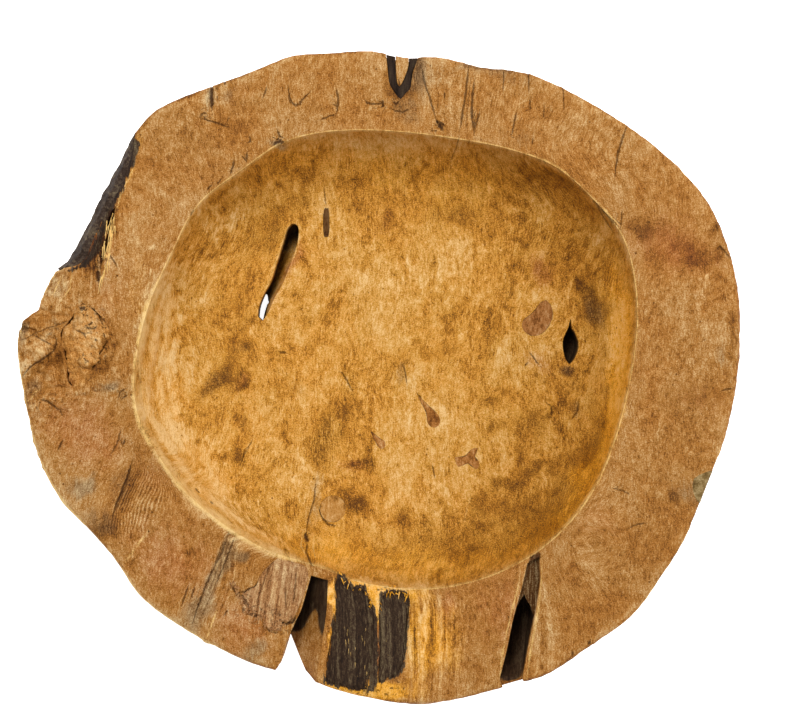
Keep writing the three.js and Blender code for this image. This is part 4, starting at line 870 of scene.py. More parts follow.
def wood_material(name, colours, rim_colour):
    """Root wood: dish and rim tones along the grain, stains, cracks, the worn lip and charred bark, with
    painted shade, shadow and highlights.
    """
    p = Paint(name)
    grain = p.vector("grain")
    place = p.place()
    fine = p.grain(p.stretch(grain, (1, 0.24, 0.3)), 740, 5, 0.72, 0.4)
    stroke = p.grain(p.stretch(grain, (1, 0.22, 0.3)), 230, 4, 0.65, 0.5)
    stripe = p.grain(p.stretch(grain, (1, 0.03, 0.1)), 190, 4, 0.65)
    smudge = p.grain(p.stretch(grain, (1, 0.7, 0.7)), 48, 5, 0.66, 1.0)
    mottle = p.grain(p.stretch(grain, (1, 0.75, 0.7)), 150, 4, 0.7, 0.8)
    cloud = p.grain(place, 17, 3, 0.6)
    speck = p.grain(place, 1000, 3, 0.75)
    patchy = p.fade(p.grain(place, 30), 0.0, 0.14)
    wave = p.waves(grain, 150)
    rings = p.calc("MULTIPLY", wave, patchy)
    pit = p.calc("MULTIPLY", p.fade(p.spots(place, 105), 0.06, 0.1, 1.0, 0.0), p.fade(cloud, 0.04, 0.1))
    on_rim = p.fade(p.value("lip"), -0.0006, 0.0006)
    ragged = p.total(0.0, (stroke, 1.1), (fine, 0.8))

    lively = p.total(1.0, (p.value("calm"), -0.6))
    drawn = p.total(0.0, (fine, 1.2), (stroke, 0.4), (smudge, 1.15), (mottle, 0.8))
    on_dish = p.total(0.52, (p.calc("MULTIPLY", lively, drawn), 1.0), (cloud, 0.6))
    on_dish = p.total(on_dish, (speck, 1.7), (rings, 0.14))
    sawn = p.total(0.52, (fine, 1.1), (stroke, 0.3), (smudge, 0.5), (mottle, 0.5))
    sawn = p.total(sawn, (cloud, 0.4), (speck, 1.5), (p.calc("MULTIPLY", wave, p.value("rib")), 0.3))
    tone = p.put("ShaderNodeMix", {0: on_rim, 2: on_dish, 3: sawn})
    # Painted shade in hollows and painted highlights on bumps and edges, then the painted shade and light
    # of the marks
    tone = p.total(tone, (pit, -0.3), (p.value("painted_relief_shade"), -0.3), (p.value("shade"), -0.26))
    tone = p.total(tone, (p.calc("MULTIPLY", p.value("stripe"), stripe), 2.4))
    # The dark marks include painted shade in the burl's creases and beside its lumps; the pale marks
    # include painted highlights on its lump tops
    dark = p.fade(p.total(p.value("dark"), (ragged, 0.6), (smudge, 0.7), (mottle, 1.2)), 0.2, 0.75)
    pale = p.fade(p.total(p.value("pale"), (ragged, 0.6), (smudge, 0.6), (mottle, 0.9)), 0.2, 0.7)
    tone = p.total(tone, (dark, -0.3), (pale, 0.26))

    colour = p.mix(on_rim, p.ramp(tone, shades(colours.dish)), p.ramp(tone, shades(rim_colour)))
    # The gold tint includes painted light on the dish's right and lower walls
    tints = (("red", colours.red, 0.8), ("gold", colours.gold, 1.0), ("grey", colours.grey, 0.8))
    for mark, tint, most in tints:
        share = p.fade(p.total(p.value(mark), (ragged, 0.7), (smudge, 0.5)), 0.1, 0.9, 0.0, most)
        colour = p.mix(share, colour, p.ramp(tone, shades(tint)))
    drift = p.fade(p.total(cloud, (smudge, 0.7)), -0.16, 0.16)
    tint = p.mix(drift, (1.05, 0.99, 0.9, 1), (1.0, 1.01, 1.05, 1))
    colour = p.mix(1.0, colour, tint, "MULTIPLY")

    crumbs = p.fade(p.grain(place, 300, 4, 0.72), -0.15, -0.06, 1.0, 0.0)
    crumble = p.calc("MULTIPLY", crumbs, p.value("crumble"))
    colour = p.mix(p.calc("MULTIPLY", crumble, 0.8), colour, (*colours.crack, 1))

    wobble = p.calc("MULTIPLY", p.grain(place, 420, 4, 0.75), 0.0036)
    broken = p.fade(p.grain(place, 110), -0.2, 0.16, 0.1, 0.75)
    worn = p.fade(p.value("lip_width"), 0.0006, 0.003, 0.45, 1.1)
    lip_line = p.calc("MULTIPLY", p.line("lip", wobble, 0.4, 1.1), worn)
    # sharp is a painted highlight along the lip's edge; the pale wood below serves both it and the worn
    # lines
    sharp = p.fade(p.calc("ABSOLUTE", p.total(p.value("lip"), (wobble, 0.25))), 0.0003, 0.0011, 0.9, 0.0)
    ray_line = p.line("ray", wobble, 0.2, 1.2)
    pale_wear_and_highlight = p.ramp(tone, shades(colours.lip))
    for pale_line in (lip_line, sharp, ray_line):
        colour = p.mix(p.calc("MULTIPLY", pale_line, broken), colour, pale_wear_and_highlight)
    # The pale rim edge: worn wood, and a painted highlight on its chamfer
    pale_edge_line = p.fade(p.total(p.value("edge_wear_and_highlight"), (ragged, 0.7)), 0.3, 0.85, 0.0, 0.75)
    colour = p.mix(pale_edge_line, colour, pale_wear_and_highlight)

    streak = p.total(0.45, (fine, 1.8), (stripe, 1.9), (speck, 1.0))
    # Painted shadow in the notch, its hollow, the pits of the dish and the cleft, in the black bark's
    # colour
    painted_shadow = p.fade(p.total(p.value("painted_shadow"), (ragged, 0.7)), 0.25, 0.8, 0.0, 0.97)
    colour = p.mix(painted_shadow, colour, p.ramp(streak, shades(colours.char, 0.12)))
    char = p.fade(p.total(p.value("char"), (stripe, 0.01), (stroke, 0.008), (fine, 0.006)), -0.0004, 0.0006)
    colour = p.mix(char, colour, p.ramp(streak, shades(colours.char, 0.3)))
    depth = p.fade(p.value("crack_width"), 0.0003, 0.0015, 0.45, 0.92)
    crack_line = p.calc("MULTIPLY", p.line("crack", wobble, 0.1, 1.25), depth)
    colour = p.mix(crack_line, colour, (*colours.crack, 1))

    height = p.total(0.0, (fine, 0.9), (stroke, 0.8), (speck, 0.8), (smudge, 1.5), (rings, 0.2))
    height = p.total(height, (pit, -1.5), (crumble, -1.6), (crack_line, -2.0))
    roughness = p.fade(speck, -0.3, 0.3, 0.52, 0.74)
    return p.finish(colour, roughness, height, 0.0009, 0.16)


def streaked_material(name, colour, stretch=(1, 0.1, 0.3), scale=700.0, glow=0.6, depth=0.0007):
    """A wood or bark whose tone runs in streaks."""
    p = Paint(name)
    place = p.place()
    grain = p.stretch(place, stretch)
    fine = p.grain(grain, scale, 4, 0.62)
    broad = p.grain(grain, scale / 5, 3, 0.6, 0.4)
    speck = p.grain(place, 800, 3, 0.7)
    tone = p.total(0.48, (fine, 1.3), (broad, 1.2), (speck, 1.0))
    height = p.total(0.0, (fine, 0.8), (broad, 1.0), (speck, 0.3))
    roughness = p.fade(speck, -0.3, 0.3, 0.6, 0.85)
    return p.finish(p.ramp(tone, shades(colour, glow)), roughness, height, depth, 0.1)


# Building pieces

def make_piece(name, points, faces, material, node=None, values=None, grain=None):
    """Makes one finished piece from millimetre corners, with values at its corners for the material."""
    mesh = bpy.data.meshes.new(name)
    mesh.vertices.add(len(points))
    mesh.vertices.foreach_set("co", (points / MM).astype(np.float32).ravel())
    mesh.loops.add(len(faces) * 3)
    mesh.loops.foreach_set("vertex_index", faces.astype(np.int32).ravel())
    mesh.polygons.add(len(faces))
    mesh.polygons.foreach_set("loop_start", np.arange(0, len(faces) * 3, 3, dtype=np.int32))
    mesh.update(calc_edges=True)
    for key, numbers in (values or {}).items():
        mesh.attributes.new(key, "FLOAT", "POINT").data.foreach_set("value", numbers.astype(np.float32))
    if grain is not None:
        layer = mesh.attributes.new("grain", "FLOAT_VECTOR", "POINT")
        layer.data.foreach_set("vector", (grain / MM).astype(np.float32).ravel())
    mesh.materials.append(material)
    mesh.shade_smooth()
    mesh.set_sharp_from_angle(angle=math.radians(SHADING_ANGLE))
    mesh.validate()
    return settle(bpy.data.objects.new(name, mesh), node)


def settle(piece, node=None):
    """Links a piece, ties it to the root's body, and hides the CAD node that it stands for."""
    bpy.context.scene.collection.objects.link(piece)
    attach(piece, "root")
    if node:
        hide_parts(node)
    return piece


def even_spacing(size):
    """A spacing that is the same on every face."""
    return lambda points, faces: np.full(len(faces), size)


def root_spacing(sizes):
    """Fine on the dish and rim, finer by drawn lines and torn places, coarse outside and underneath."""
    def spacing(points, faces):
        """The longest edge that each face may have, in millimetres."""
        normal = face_normals(points, faces)[0]
        middle = points[faces].mean(axis=1)
        upward = (normal[:, 2] > 0.04) & (middle[:, 2] > 30)
        by_line = 4 - np.abs(nearest_line(seen_plan(middle), CRACKS + PALE_LINES)[0])
        detail = np.clip(np.maximum(ovals(middle[:, :2], DETAIL_OVALS, 2.0), fade(by_line, 0, 2)), 0, 1)
        wanted = np.where(upward, sizes.top_spacing * (1 - 0.6 * detail), sizes.side_spacing)
        return MM * np.where(normal[:, 2] < -0.98, sizes.foot_spacing, wanted)
    return spacing


def wood_values(points, faces, cracks):
    """What the wood material reads at each corner: distances in metres, and strengths from 0 to about 1."""
    normal = point_normals(points, faces)
    plan = seen_plan(points)
    warp = np.stack([rough(plan / 20, 71), rough(plan / 20, 75)], axis=1)
    strayed = plan + STRAY * warp
    lip_ring, outer_ring = bowl_rings()
    away = np.linalg.norm(points[:, :2] - DISH_MIDDLE, axis=1)
    lip = away - round_reach(lip_ring, points[:, :2])
    underneath = fade(-normal[:, 2], 0.1, 0.4)
    lip = lip * (1 - underneath) + UNDERNEATH_LIP * underneath
    edge = round_reach(outer_ring, points[:, :2]) - away
    upper = fade(points[:, 2], 25, 36) * fade(normal[:, 2], -0.15, 0.1)
    in_dish = fade(-lip, -1, 2)
    crack, crack_width = nearest_line(plan, cracks)
    ray, ray_width = nearest_line(plan, PALE_LINES)
    apart = away_from_edges(points, faces, 2)
    # How far each corner lies in a hollow, for the painted relief shade: darker in hollows and seams,
    # lighter on bumps and edges
    hollow = apart * ((neighbour_mean(points, edges_of(faces)[0]) - points) * normal).sum(axis=1)
    swell, crease = lumps(points)
    burled = np.clip(ovals(plan, BURL_OVALS, 2.0), 0, 1) * fade(lip, 5, 20)
    # Painted shade in the burl's creases and painted highlight on its lump tops
    crease = crease * burled
    painted_lump_highlight = fade(swell, 0.5, 2.5) * burled
    # Golden tone, which on the dish's right and lower walls is also painted light
    gold = ovals(strayed, GOLD_AND_WALL_LIGHT_OVALS) * in_dish + ovals(strayed, RIM_GOLD, 1.4) * (1 - in_dish)
    # Painted shade and light in the dish; darker and paler tone on the rim, with painted shadow and
    # highlights by the burl
    shade = ovals(plan, SHADE_OVALS) * in_dish + ovals(plan, RIM_TONE_AND_SHADE) * (1 - in_dish)
    # Painted shadow below the rim in the notch's hollow, on the walls and floors of pits in the dish, and
    # down the cleft; brown is the share of it that the slot's slope keeps
    hidden = fade(RIM_HEIGHT - 1 - points[:, 2], 0, 2) * fade(points[:, 2], 60, 80) * fade(lip, 0.5, 2)
    pit_wall_shadow = fade(0.3 - np.abs(normal[:, 2]), 0, 0.15) * fade(-lip, 4, 10)
    brown = 1 - ovals(plan, SLOPE_OVALS)
    cleft_shadow = np.clip(ovals(points[:, :2], CLEFT_SHADOW_OVALS, 2.5), 0, 1)
    cleft_shadow *= fade(RIM_HEIGHT - 4 - points[:, 2], 0, 4)
    cleft_shadow *= fade(edge, 0.5, 4)
    pit_floor_shadow = fade(PIT_FLOOR - points[:, 2], 0, 3) * fade(-lip, 4, 10)
    recess_shadow = 1.1 * cleft_shadow + (0.6 * pit_wall_shadow + 1.2 * pit_floor_shadow) * brown
    # Painted shade along the rim's outer edge, kept off where the edge is pale with wear and a painted
    # highlight
    rim_edge = fade(-edge, -4.5, -0.5) * fade(points[:, 2], 100, 116)
    edge_wear_and_light = np.clip(ovals(plan, EDGE_WEAR_AND_LIGHT_OVALS), 0, 1)
    lengths = {
        "lip": lip, "lip_width": 0.5 + 3.4 * np.clip(ovals(plan, LIP_OVALS), 0, 1),
        "crack": crack, "crack_width": crack_width * upper,
        "ray": ray, "ray_width": ray_width * upper,
        "char": loop_depth(plan, CHAR_LOOPS) + 0.8 - 14 * fade(110 - points[:, 2], 0, 5),
    }
    strengths = {
        # Dark stains with painted shade in the burl's creases; pale places with painted highlights on the
        # burl's lump tops
        "dark": (1.15 * ovals(strayed, DARK_STAIN_AND_SHADE_OVALS, 1.4) + 0.2 * crease) * upper,
        "pale": (ovals(strayed, PALE_OVALS, 1.2) + 0.5 * painted_lump_highlight) * upper,
        "gold": gold * upper,
        "red": ovals(strayed, RED_OVALS) * upper,
        "grey": ovals(strayed, GREY_OVALS, 1.4) * upper,
        "painted_relief_shade": np.clip(hollow / 0.4, -1, 1) * upper,
        # Painted shade along the rim's outer edge is added to the shade marks
        "shade": shade + 0.8 * rim_edge * (1 - edge_wear_and_light),
        "calm": np.clip(gold + shade, 0, 1) * in_dish,
        "rib": np.clip(ovals(plan, RIB_OVALS, 2.0), 0, 1),
        "crumble": np.clip(ovals(plan, CRUMBLE_OVALS, 1.5), 0, 1) * upper,
        "stripe": np.clip(ovals(plan, STRIPE_OVALS, 1.6), 0, 1) * upper,
        "painted_shadow": ovals(plan, NOTCH_SHADOW_OVALS, 2.0) * hidden + recess_shadow,
        "edge_wear_and_highlight": rim_edge * edge_wear_and_light,
    }
    strengths.update({key: value / MM for key, value in lengths.items()})
    return strengths, grain_places(points, plan)


def wood_piece(name, points, faces, material, node, cracks, lean=None):
    """A piece painted as root wood; a lean gives it a straight grain of its own."""
    values, grain = wood_values(points, faces, cracks)
    if lean is not None:
        grain = points * (1, 1, 0.4) - points[:, [1, 0, 2]] * (lean, 0, 0)
    return make_piece(name, points, faces, material, node, values, grain)


def fine_node(node, spacing, rounds):
    """The corners and triangles of a CAD node, split finely and smoothed."""
    points, faces = plain_mesh(node)
    points, faces = split_long(points, faces, even_spacing(spacing))
    return ease(points, faces, rounds), faces


def pushed(points, faces, lift):
    """Corners moved out along their normals."""
    return points + point_normals(points, faces) * lift[:, None]


def seam_fill(points, faces):
    """How far a held piece's walls stand out to close most of its seam."""
    return 0.22 * fade(0.3 - np.abs(point_normals(points, faces)[:, 2]), 0, 0.2)


def root_relief(points, faces, sizes):
    """How far each corner of the root is raised: rim waves, tool ripples, lumps, cracks and hollows."""
    normal = point_normals(points, faces)
    plan = seen_plan(points)
    away = np.linalg.norm(points[:, :2] - DISH_MIDDLE, axis=1)
    lip = away - round_reach(bowl_rings()[0], points[:, :2])
    apart = away_from_edges(points, faces)
    top = fade(normal[:, 2], -0.15, 0.1)
    on_rim = fade(lip, 0, 3) * fade(points[:, 2], 112, 122) * top
    in_dish = fade(-lip, 0, 6) * top
    outside = (1 - top) * fade(points[:, 2], 3, 20) * fade(lip, 10, 30)
    crack, crack_width = nearest_line(plan, CRACKS)
    groove = np.clip(1 - np.abs(crack) / np.maximum(crack_width * 1.6 + 0.6, 0.1), 0, 1)
    lift = (rough(points / 55, 11) + 0.35 * rough(points / 6, 15)) * on_rim * MM * sizes.rim_unevenness
    level = on_rim * fade(normal[:, 2], 0.5, 0.85)
    lift += ovals(plan, LUMP_OVALS, 1.5) * level
    lift += lumps(points)[0] * np.clip(ovals(plan, BURL_OVALS, 2.0), 0, 1) * level
    lift += rough(points / np.array([16, 42, 30]), 12) * in_dish * MM * sizes.ripple
    terrace = np.sin(lip / 1.4 + 3 * rough(points / 30, 16)) * fade(-lip, 1, 4) * fade(lip, -34, -16)
    lift += 0.6 * terrace * np.clip(ovals(plan, LIP_OVALS), 0, 1)
    lift *= apart
    lift -= 1.3 * groove * np.clip(crack_width, 0, 2) * np.maximum(on_rim, in_dish) * np.maximum(apart, 0.3)
    hollows = MM * sizes.side_roughness * rough(points / np.array([34, 34, 136]), 14)
    return lift + hollows * outside * apart


def sliver_tree(material):
    """Geometry nodes that set a tapered sliver on each point, turned along the point's own aim."""
    tree = bpy.data.node_groups.new("slivers", "GeometryNodeTree")
    sockets = (("Points", "Geometry"), ("Thickness", "Float"), ("Length", "Float"), ("Seed", "Int"))
    for name, kind in sockets:
        tree.interface.new_socket(name, in_out="INPUT", socket_type="NodeSocket" + kind)
    tree.interface.new_socket("Slivers", in_out="OUTPUT", socket_type="NodeSocketGeometry")

    put = functools.partial(put_node, tree)
    given = put("NodeGroupInput", {})
    cone_sizes = {"Vertices": 5, "Radius Top": 0.12, "Radius Bottom": 0.5, "Depth": 1.0}
    cone = put("GeometryNodeMeshCone", cone_sizes)["Mesh"]
    aim = put("GeometryNodeInputNamedAttribute", {"Name": "aim"}, data_type="FLOAT_VECTOR")["Attribute"]
    turn = put("FunctionNodeAlignRotationToVector", {"Vector": aim}, axis="Z")["Rotation"]
    spread = put("FunctionNodeRandomValue", {2: 0.45, 3: 1.4, "Seed": given["Seed"]}, data_type="FLOAT")[1]
    length = put("ShaderNodeMath", {0: given["Length"], 1: spread}, operation="MULTIPLY")[0]
    scale = put("ShaderNodeCombineXYZ", {0: given["Thickness"], 1: given["Thickness"], 2: length})[0]
    places = {"Points": given["Points"], "Instance": cone, "Rotation": turn, "Scale": scale}
    set_out = put("GeometryNodeInstanceOnPoints", places)[0]
    solid = put("GeometryNodeRealizeInstances", {"Geometry": set_out})[0]
    painted = put("GeometryNodeSetMaterial", {"Geometry": solid, "Material": material})[0]
    put("NodeGroupOutput", {"Slivers": painted})
    return tree


def slivers(name, places, aims, thickness, length, seed, material):
    """Torn slivers of wood as one plain mesh: one on each place, lying along its aim."""
    mesh = bpy.data.meshes.new(name + "_places")
    mesh.from_pydata((places / MM).tolist(), [], [])
    mesh.attributes.new("aim", "FLOAT_VECTOR", "POINT").data.foreach_set("vector", aims.ravel())
    carrier = bpy.data.objects.new(name + "_places", mesh)
    bpy.context.scene.collection.objects.link(carrier)
    tree = sliver_tree(material)
    modifier = carrier.modifiers.new("slivers", "NODES")
    modifier.node_group = tree
    sizes = {"Thickness": thickness, "Length": length, "Seed": seed}
    for item in tree.interface.items_tree:
        if item.name in sizes:
            modifier[item.identifier] = sizes[item.name]
    carrier.update_tag()
    seen = carrier.evaluated_get(bpy.context.evaluated_depsgraph_get())
    piece = bpy.data.objects.new(name, bpy.data.meshes.new_from_object(seen))
    bpy.data.objects.remove(carrier)
    return settle(piece)


def along_path(path, count, rng, stray):
    """Places scattered along a path in plan, each strayed a little to the side."""
    path = np.array(path, float)
    step = np.linalg.norm(np.diff(path, axis=0), axis=1)
    start = np.concatenate([[0], np.cumsum(step)])
    at = np.sort(rng.random(count)) * start[-1]
    plan = np.stack([np.interp(at, start, path[:, axis]) for axis in range(2)], axis=1)
    return plan + rng.normal(0, stray, (count, 2))


def over_rim(plan, lift):
    """Plan places at one height over the rim."""
    return np.column_stack([plan, np.full(len(plan), RIM_HEIGHT + lift)])


def aims_about(direction, count, rng, spread):
    """Directions scattered about one direction."""
    aims = np.array(direction) + rng.normal(0, spread, (count, 3)) * (1, 1, 0.3)
    return aims / np.linalg.norm(aims, axis=1)[:, None]


# What a user would change

def size_property(name, description, default):
    """A length in metres."""
    return bpy.props.FloatProperty(name=name, description=description, default=default, unit="LENGTH")


def colour_property(name, description, red, green, blue):
    """A colour given as a screen colour, 0 to 255 a channel."""
    return bpy.props.FloatVectorProperty(
        name=name, description=description, default=linear(red, green, blue), subtype="COLOR", min=0, max=1)


class BowlSizes(bpy.types.PropertyGroup):
    """Sizes of the surface detail."""

    top_spacing: size_property("Top spacing", "Longest edge of the mesh on the dish and rim", 0.0058)
    side_spacing: size_property("Side spacing", "Longest edge of the mesh on the outside", 0.01)
    foot_spacing: size_property("Foot spacing", "Longest edge of the mesh underneath", 0.08)
    ripple: size_property("Dish ripple", "Height of the tool ripples in the dish", 0.0007)
    rim_unevenness: size_property("Rim unevenness", "Height of the waves left on the sawn rim", 0.0009)
    side_roughness: size_property("Side roughness", "Height of the hollows on the outside", 0.0045)
    bark_ridge: size_property("Bark ridges", "Height of the ridges along the bark", 0.0012)
    sliver_thickness: size_property("Sliver thickness", "Thickness of torn slivers at their foot", 0.0011)
    sliver_length: size_property("Sliver length", "Usual length of torn slivers", 0.007)


class BowlColours(bpy.types.PropertyGroup):
    """Middle colour of each finish."""

    dish: colour_property("Dish", "Oiled wood in the dish", 199, 141, 48)
    rim: colour_property("Rim", "Sawn wood on the rim", 164, 109, 42)
    burl: colour_property("Burl", "Wood of the burl", 182, 125, 55)
    flake: colour_property("Flake", "Weathered wood of the flake", 164, 116, 70)
    # Gold is also the colour of the painted light on the dish's right and lower walls
    gold: colour_property("Gold", "Golden wood low in the dish and by the bark", 228, 160, 40)
    red: colour_property("Red", "Reddish stains", 166, 98, 46)
    grey: colour_property("Grey", "Weathered stains", 134, 104, 68)
    # Lip is also the colour of the painted highlights along the lip's edge and the rim's outer edge
    lip: colour_property("Lip", "Pale worn edges", 230, 188, 112)
    crack: colour_property("Cracks", "Depth of the cracks", 60, 31, 12)
    # The black bark's colour is also used for the painted shadow in the notch, the hollow, the pits and the
    # cleft
    char: colour_property("Black bark", "Charred and black bark", 58, 40, 25)
    pocket: colour_property("Pocket bark", "Bark grown into the back of the rim", 44, 31, 22)
    bark: colour_property("Outer bark", "Bark on the outside", 62, 48, 39)
    fibre: colour_property("Fibrous bark", "Fibres in the cleft", 86, 55, 23)
    knot: colour_property("Knots", "Encased dead knots", 152, 99, 48)
    disc: colour_property("Disc knot", "Pale round knot", 166, 116, 52)
    filler: colour_property("Filler", "Wood dust set in holes", 158, 103, 46)
    patch: colour_property("Edge filler", "Greyed fill in the edge", 112, 88, 48)
    floor: colour_property("Floor", "Floor under the bowl", 243, 243, 243)


class BOWL_OT_root(bpy.types.Operator):
    """Build the carved root"""

    bl_idname = "bowl.root"
    bl_label = "Carved root"

    def execute(self, context):
        sizes = context.scene.bowl_sizes
        colours = context.scene.bowl_colours
        points, faces = plain_mesh("carved_root")
        points, faces = split_long(points, faces, root_spacing(sizes))
        points = ease(points, faces, 4)
        points = pushed(points, faces, root_relief(points, faces, sizes))
        points[:, 2] = np.where(points[:, 2] < 0.2, 0, points[:, 2])
        teak = wood_material("teak", colours, colours.rim)
        wood_piece("root_wood", points, faces, teak, "carved_root", CRACKS)
        return {"FINISHED"}


class BOWL_OT_bark(bpy.types.Operator):
    """Build the bark that is held in the root"""

    bl_idname = "bowl.bark"
    bl_label = "Bark"

    def execute(self, context):
        sizes = context.scene.bowl_sizes
        colours = context.scene.bowl_colours
        ridge = MM * sizes.bark_ridge
        black = wood_material("bark", colours, colours.rim)
        for side, seed in (("left", 41), ("right", 42)):
            node = "bark_strip_" + side
            points, faces = fine_node(node, 1.8, 3)
            points = pushed(points, faces, ridge * rough(points / np.array([3.2, 26, 26]), seed))
            wood_piece("strip_" + side + "_bark", points, faces, black, node, CRACKS)
        dry = streaked_material("pocket_bark", colours.pocket, glow=0.06)
        points, faces = fine_node("top_bark_pocket", 1.6, 2)
        out = points[:, :2] - DISH_MIDDLE
        reach = round_reach(bowl_rings()[1], points[:, :2]) - 1.5
        points[:, :2] = DISH_MIDDLE + out * np.minimum(1, reach / np.linalg.norm(out, axis=1))[:, None]
        level = fade(point_normals(points, faces)[:, 2], 0.3, 0.8)
        dents = rough(points / np.array([3, 14, 14]), 43) - 0.5
        points = pushed(points, faces, 0.8 * ridge * level * dents)
        make_piece("pocket_bark", points, faces, dry, "top_bark_pocket")
        outer = streaked_material("outer_bark", colours.bark, (1, 1, 0.2), 330, 0.25, 0.0015)
        points, faces = fine_node("outer_bark", 2.4, 4)
        bulge = ovals(points[:, :2], BARK_OVALS) * fade(0.7 - point_normals(points, faces)[:, 2], 0, 0.5)
        points = pushed(points, faces, bulge + 1.2 * ridge * rough(points / np.array([9, 9, 34]), 44))
        make_piece("outer_bark_skin", points, faces, outer, "outer_bark")
        torn = streaked_material("fibrous_bark", colours.fibre, glow=0.8, depth=0.0016)
        points, faces = fine_node("cleft_bark", 1.7, 2)
        points = pushed(points, faces, ridge * rough(points / np.array([3, 22, 22]), 45))
        make_piece("cleft_fibres", points, faces, torn, "cleft_bark")
        return {"FINISHED"}


class BOWL_OT_burl(bpy.types.Operator):
    """Build the burl"""

    bl_idname = "bowl.burl"
    bl_label = "Burl"

    def execute(self, context):
        colours = context.scene.bowl_colours
        points, faces = fine_node("left_burl", 1.5, 6)
        lift = lumps(points)[0] + 0.7 * rough(points / 4, 54)
        lift = lift * fade(points[:, 2], 112, 120)
        points = pushed(points, faces, lift + seam_fill(points, faces))
        burl = wood_material("burl", colours, colours.burl)
        wood_piece("burl_wood", points, faces, burl, "left_burl", CRACKS)
        return {"FINISHED"}


class BOWL_OT_flake(bpy.types.Operator):
    """Build the weathered flake"""

    bl_idname = "bowl.flake"
    bl_label = "Weathered flake"

    def execute(self, context):
        colours = context.scene.bowl_colours
        points, faces = fine_node("weathered_flake", 1.5, 2)
        crack, crack_width = nearest_line(points[:, :2], FLAKE_CRACKS)
        groove = np.clip(1 - np.abs(crack) / 2.2, 0, 1) * (crack_width > 0)
        lift = 1.2 * rough(points / np.array([8, 22, 20]), 61) - 1.2 * groove
        lift = lift * fade(points[:, 2], 122.5, 125)
        points = pushed(points, faces, lift + seam_fill(points, faces))
        weathered = wood_material("weathered_teak", colours, colours.flake)
        slot, node = "weathered_teak", "weathered_flake"
        wood_piece("flake_wood", points, faces, weathered, node, FLAKE_CRACKS, 0.15)
        return {"FINISHED"}


class BOWL_OT_knots(bpy.types.Operator):
    """Build the encased knots"""

    bl_idname = "bowl.knots"
    bl_label = "Knots"

    def execute(self, context):
        colours = context.scene.bowl_colours
        for node, colour in (("oval_knot", colours.knot), ("disc_knot", colours.disc)):
            points, faces = fine_node(node, 1.5, 3)
            knot = streaked_material(node + "_wood", colour, (1, 0.35, 0.5), 480)
            make_piece(node + "_wood", points, faces, knot, node)
        return {"FINISHED"}


class BOWL_OT_fills(bpy.types.Operator):
    """Build the fills"""

    bl_idname = "bowl.fills"
    bl_label = "Fills"

    def execute(self, context):
        colours = context.scene.bowl_colours
        filler = streaked_material("filler", colours.filler, (1, 0.5, 0.5), 300, 0.9)
        slit = streaked_material("slit_filler", colours.fibre, (1, 0.5, 0.5), 500, 0.12)
        fills = {"teardrop_fill": filler, "trefoil_fill": filler, "seed_fill": filler, "slit_fill": slit}
        for node, dust in fills.items():
            points, faces = fine_node(node, 1.4, 2)
            make_piece(node + "_dust", points, faces, dust, node)
        patch = streaked_material("edge_filler", colours.patch, (1, 1, 1), 300)
        points, faces = fine_node("edge_patch", 1.6, 2)
        make_piece("edge_patch_dust", points, faces, patch, "edge_patch")
        return {"FINISHED"}


class BOWL_OT_slivers(bpy.types.Operator):
    """Build the torn slivers by the bark"""

    bl_idname = "bowl.slivers"
    bl_label = "Slivers"

    def execute(self, context):
        sizes = context.scene.bowl_sizes
        colours = context.scene.bowl_colours
        rng = np.random.default_rng(7)
        golden = streaked_material("golden_slivers", colours.gold, glow=0.9)
        fringe = ((-35, -162), (-28, -164), (-22, -171), (-18, -171), (-11, -172), (-6, -182), (-3, -191),
                  (1, -180), (7, -176), (13, -175), (20, -177), (25, -180))
        plan = along_path(fringe, 60, rng, 1.8)
        places = over_rim(plan, -0.6)
        aims = aims_about((0.02, -1, -0.1), len(plan), rng, 0.5)
        thickness, length = sizes.sliver_thickness, sizes.sliver_length
        slivers("fringe_slivers", places, aims, 1.3 * thickness, 0.7 * length, 1, golden)
        pale = streaked_material("pale_slivers", colours.lip, glow=0.5)
        plan = np.concatenate([
            np.column_stack([rng.uniform(-30, -9, 22), rng.uniform(-252, -205, 22)]),
            np.column_stack([rng.uniform(2, 8, 12), rng.uniform(-230, -195, 12)]),
        ])
        places = over_rim(plan, -2.0)
        aims = aims_about((0, -1, 0.02), len(plan), rng, 0.06)
        slivers("strip_slivers", places, aims, 0.35 * thickness, 0.5 * length, 2, pale)
        fibre = streaked_material("torn_fibres", colours.lip, glow=0.5)
        plan = along_path(((-221, 135), (-223, 114), (-225, 96), (-228, 82)), 36, rng, 2.2)
        places = over_rim(plan, 0.3)
        aims = aims_about((-0.15, -1, 0), len(plan), rng, 0.14)
        slivers("crevice_slivers", places, aims, 0.9 * thickness, 1.7 * length, 3, fibre)
        brown = streaked_material("flake_crumbs", colours.flake, glow=0.4)
        foot = ((-121, -170), (-115, -181), (-108, -194), (-97, -200), (-88, -208), (-79, -204))
        plan = along_path(foot, 110, rng, 1.3)
        places = over_rim(plan, 0.2)
        aims = aims_about((0, -0.2, 0.1), len(plan), rng, 0.9)
        slivers("flake_crumbs", places, aims, 1.4 * thickness, 0.4 * length, 4, brown)
        return {"FINISHED"}


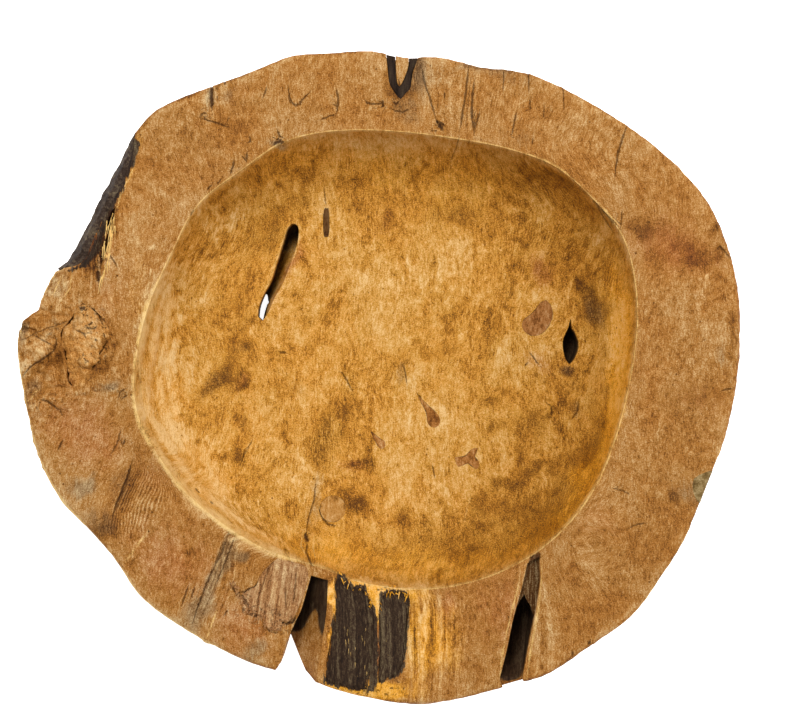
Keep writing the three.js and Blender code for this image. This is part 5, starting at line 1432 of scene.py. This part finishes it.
class BOWL_OT_stage(bpy.types.Operator):
    """Set the floor, lights and camera"""

    bl_idname = "bowl.stage"
    bl_label = "Stage"

    def execute(self, context):
        colours = context.scene.bowl_colours
        scene = context.scene
        mesh = bpy.data.meshes.new("floor")
        signs = ((-1, -1), (1, -1), (1, 1), (-1, 1))
        corners = [(x * FLOOR_REACH, y * FLOOR_REACH, -FLOOR_GAP) for x, y in signs]
        mesh.from_pydata(corners, [], [(0, 1, 2, 3)])
        p = Paint("floor")
        values = {"Base Color": (*colours.floor, 1), "Roughness": 0.9}
        values.update({"Emission Color": (1, 1, 1, 1), "Emission Strength": FLOOR_GLOW})
        p.put_output(p.put("ShaderNodeBsdfPrincipled", values))
        mesh.materials.append(p.material)
        floor = bpy.data.objects.new("floor", mesh)
        scene.collection.objects.link(floor)
        world = bpy.data.worlds.new("studio")
        world.use_nodes = True
        sky = world.node_tree.nodes["Background"].inputs
        sky["Color"].default_value = (1, 1, 1, 1)
        sky["Strength"].default_value = SKY_GLOW
        scene.world = world
        for name, place, size, power in LIGHTS:
            data = bpy.data.lights.new(name, "AREA")
            data.size = size
            data.energy = power
            light = bpy.data.objects.new(name, data)
            light.location = place
            light.rotation_euler = (-light.location).to_track_quat("-Z", "Y").to_euler()
            scene.collection.objects.link(light)
        data = bpy.data.cameras.new("camera")
        data.sensor_width = SENSOR_WIDTH
        data.lens = SENSOR_WIDTH * READ_HEIGHT / FRAME_WIDTH
        camera = bpy.data.objects.new("camera", data)
        camera.location = (*(READ_OVER / MM), (READ_HEIGHT + RIM_HEIGHT) / MM)
        scene.collection.objects.link(camera)
        scene.camera = camera
        scene.view_settings.view_transform = "Standard"
        return {"FINISHED"}


OPERATORS = (
    BOWL_OT_root, BOWL_OT_bark, BOWL_OT_burl, BOWL_OT_flake, BOWL_OT_knots, BOWL_OT_fills, BOWL_OT_slivers,
    BOWL_OT_stage,
)


class BOWL_PT_panel(bpy.types.Panel):
    """Lists the bowl's pieces"""

    bl_label = "Teak root bowl"
    bl_idname = "BOWL_PT_panel"
    bl_space_type = "VIEW_3D"
    bl_region_type = "UI"
    bl_category = "Bowl"

    def draw(self, context):
        """One button for each operator."""
        for operator in OPERATORS:
            self.layout.operator(operator.bl_idname)


CLASSES = (BowlSizes, BowlColours, *OPERATORS, BOWL_PT_panel)


def register():
    """Adds the classes, and the sizes and colours of a scene."""
    for cls in CLASSES:
        bpy.utils.register_class(cls)
    bpy.types.Scene.bowl_sizes = bpy.props.PointerProperty(type=BowlSizes)
    bpy.types.Scene.bowl_colours = bpy.props.PointerProperty(type=BowlColours)


def unregister():
    """Takes away what register adds."""
    del bpy.types.Scene.bowl_colours
    del bpy.types.Scene.bowl_sizes
    for cls in reversed(CLASSES):
        bpy.utils.unregister_class(cls)


def main():
    """Builds every piece and the stage."""
    register()
    bpy.ops.bowl.root()
    bpy.ops.bowl.bark()
    bpy.ops.bowl.burl()
    bpy.ops.bowl.flake()
    bpy.ops.bowl.knots()
    bpy.ops.bowl.fills()
    bpy.ops.bowl.slivers()
    bpy.ops.bowl.stage()


if __name__ == "__main__":
    main()
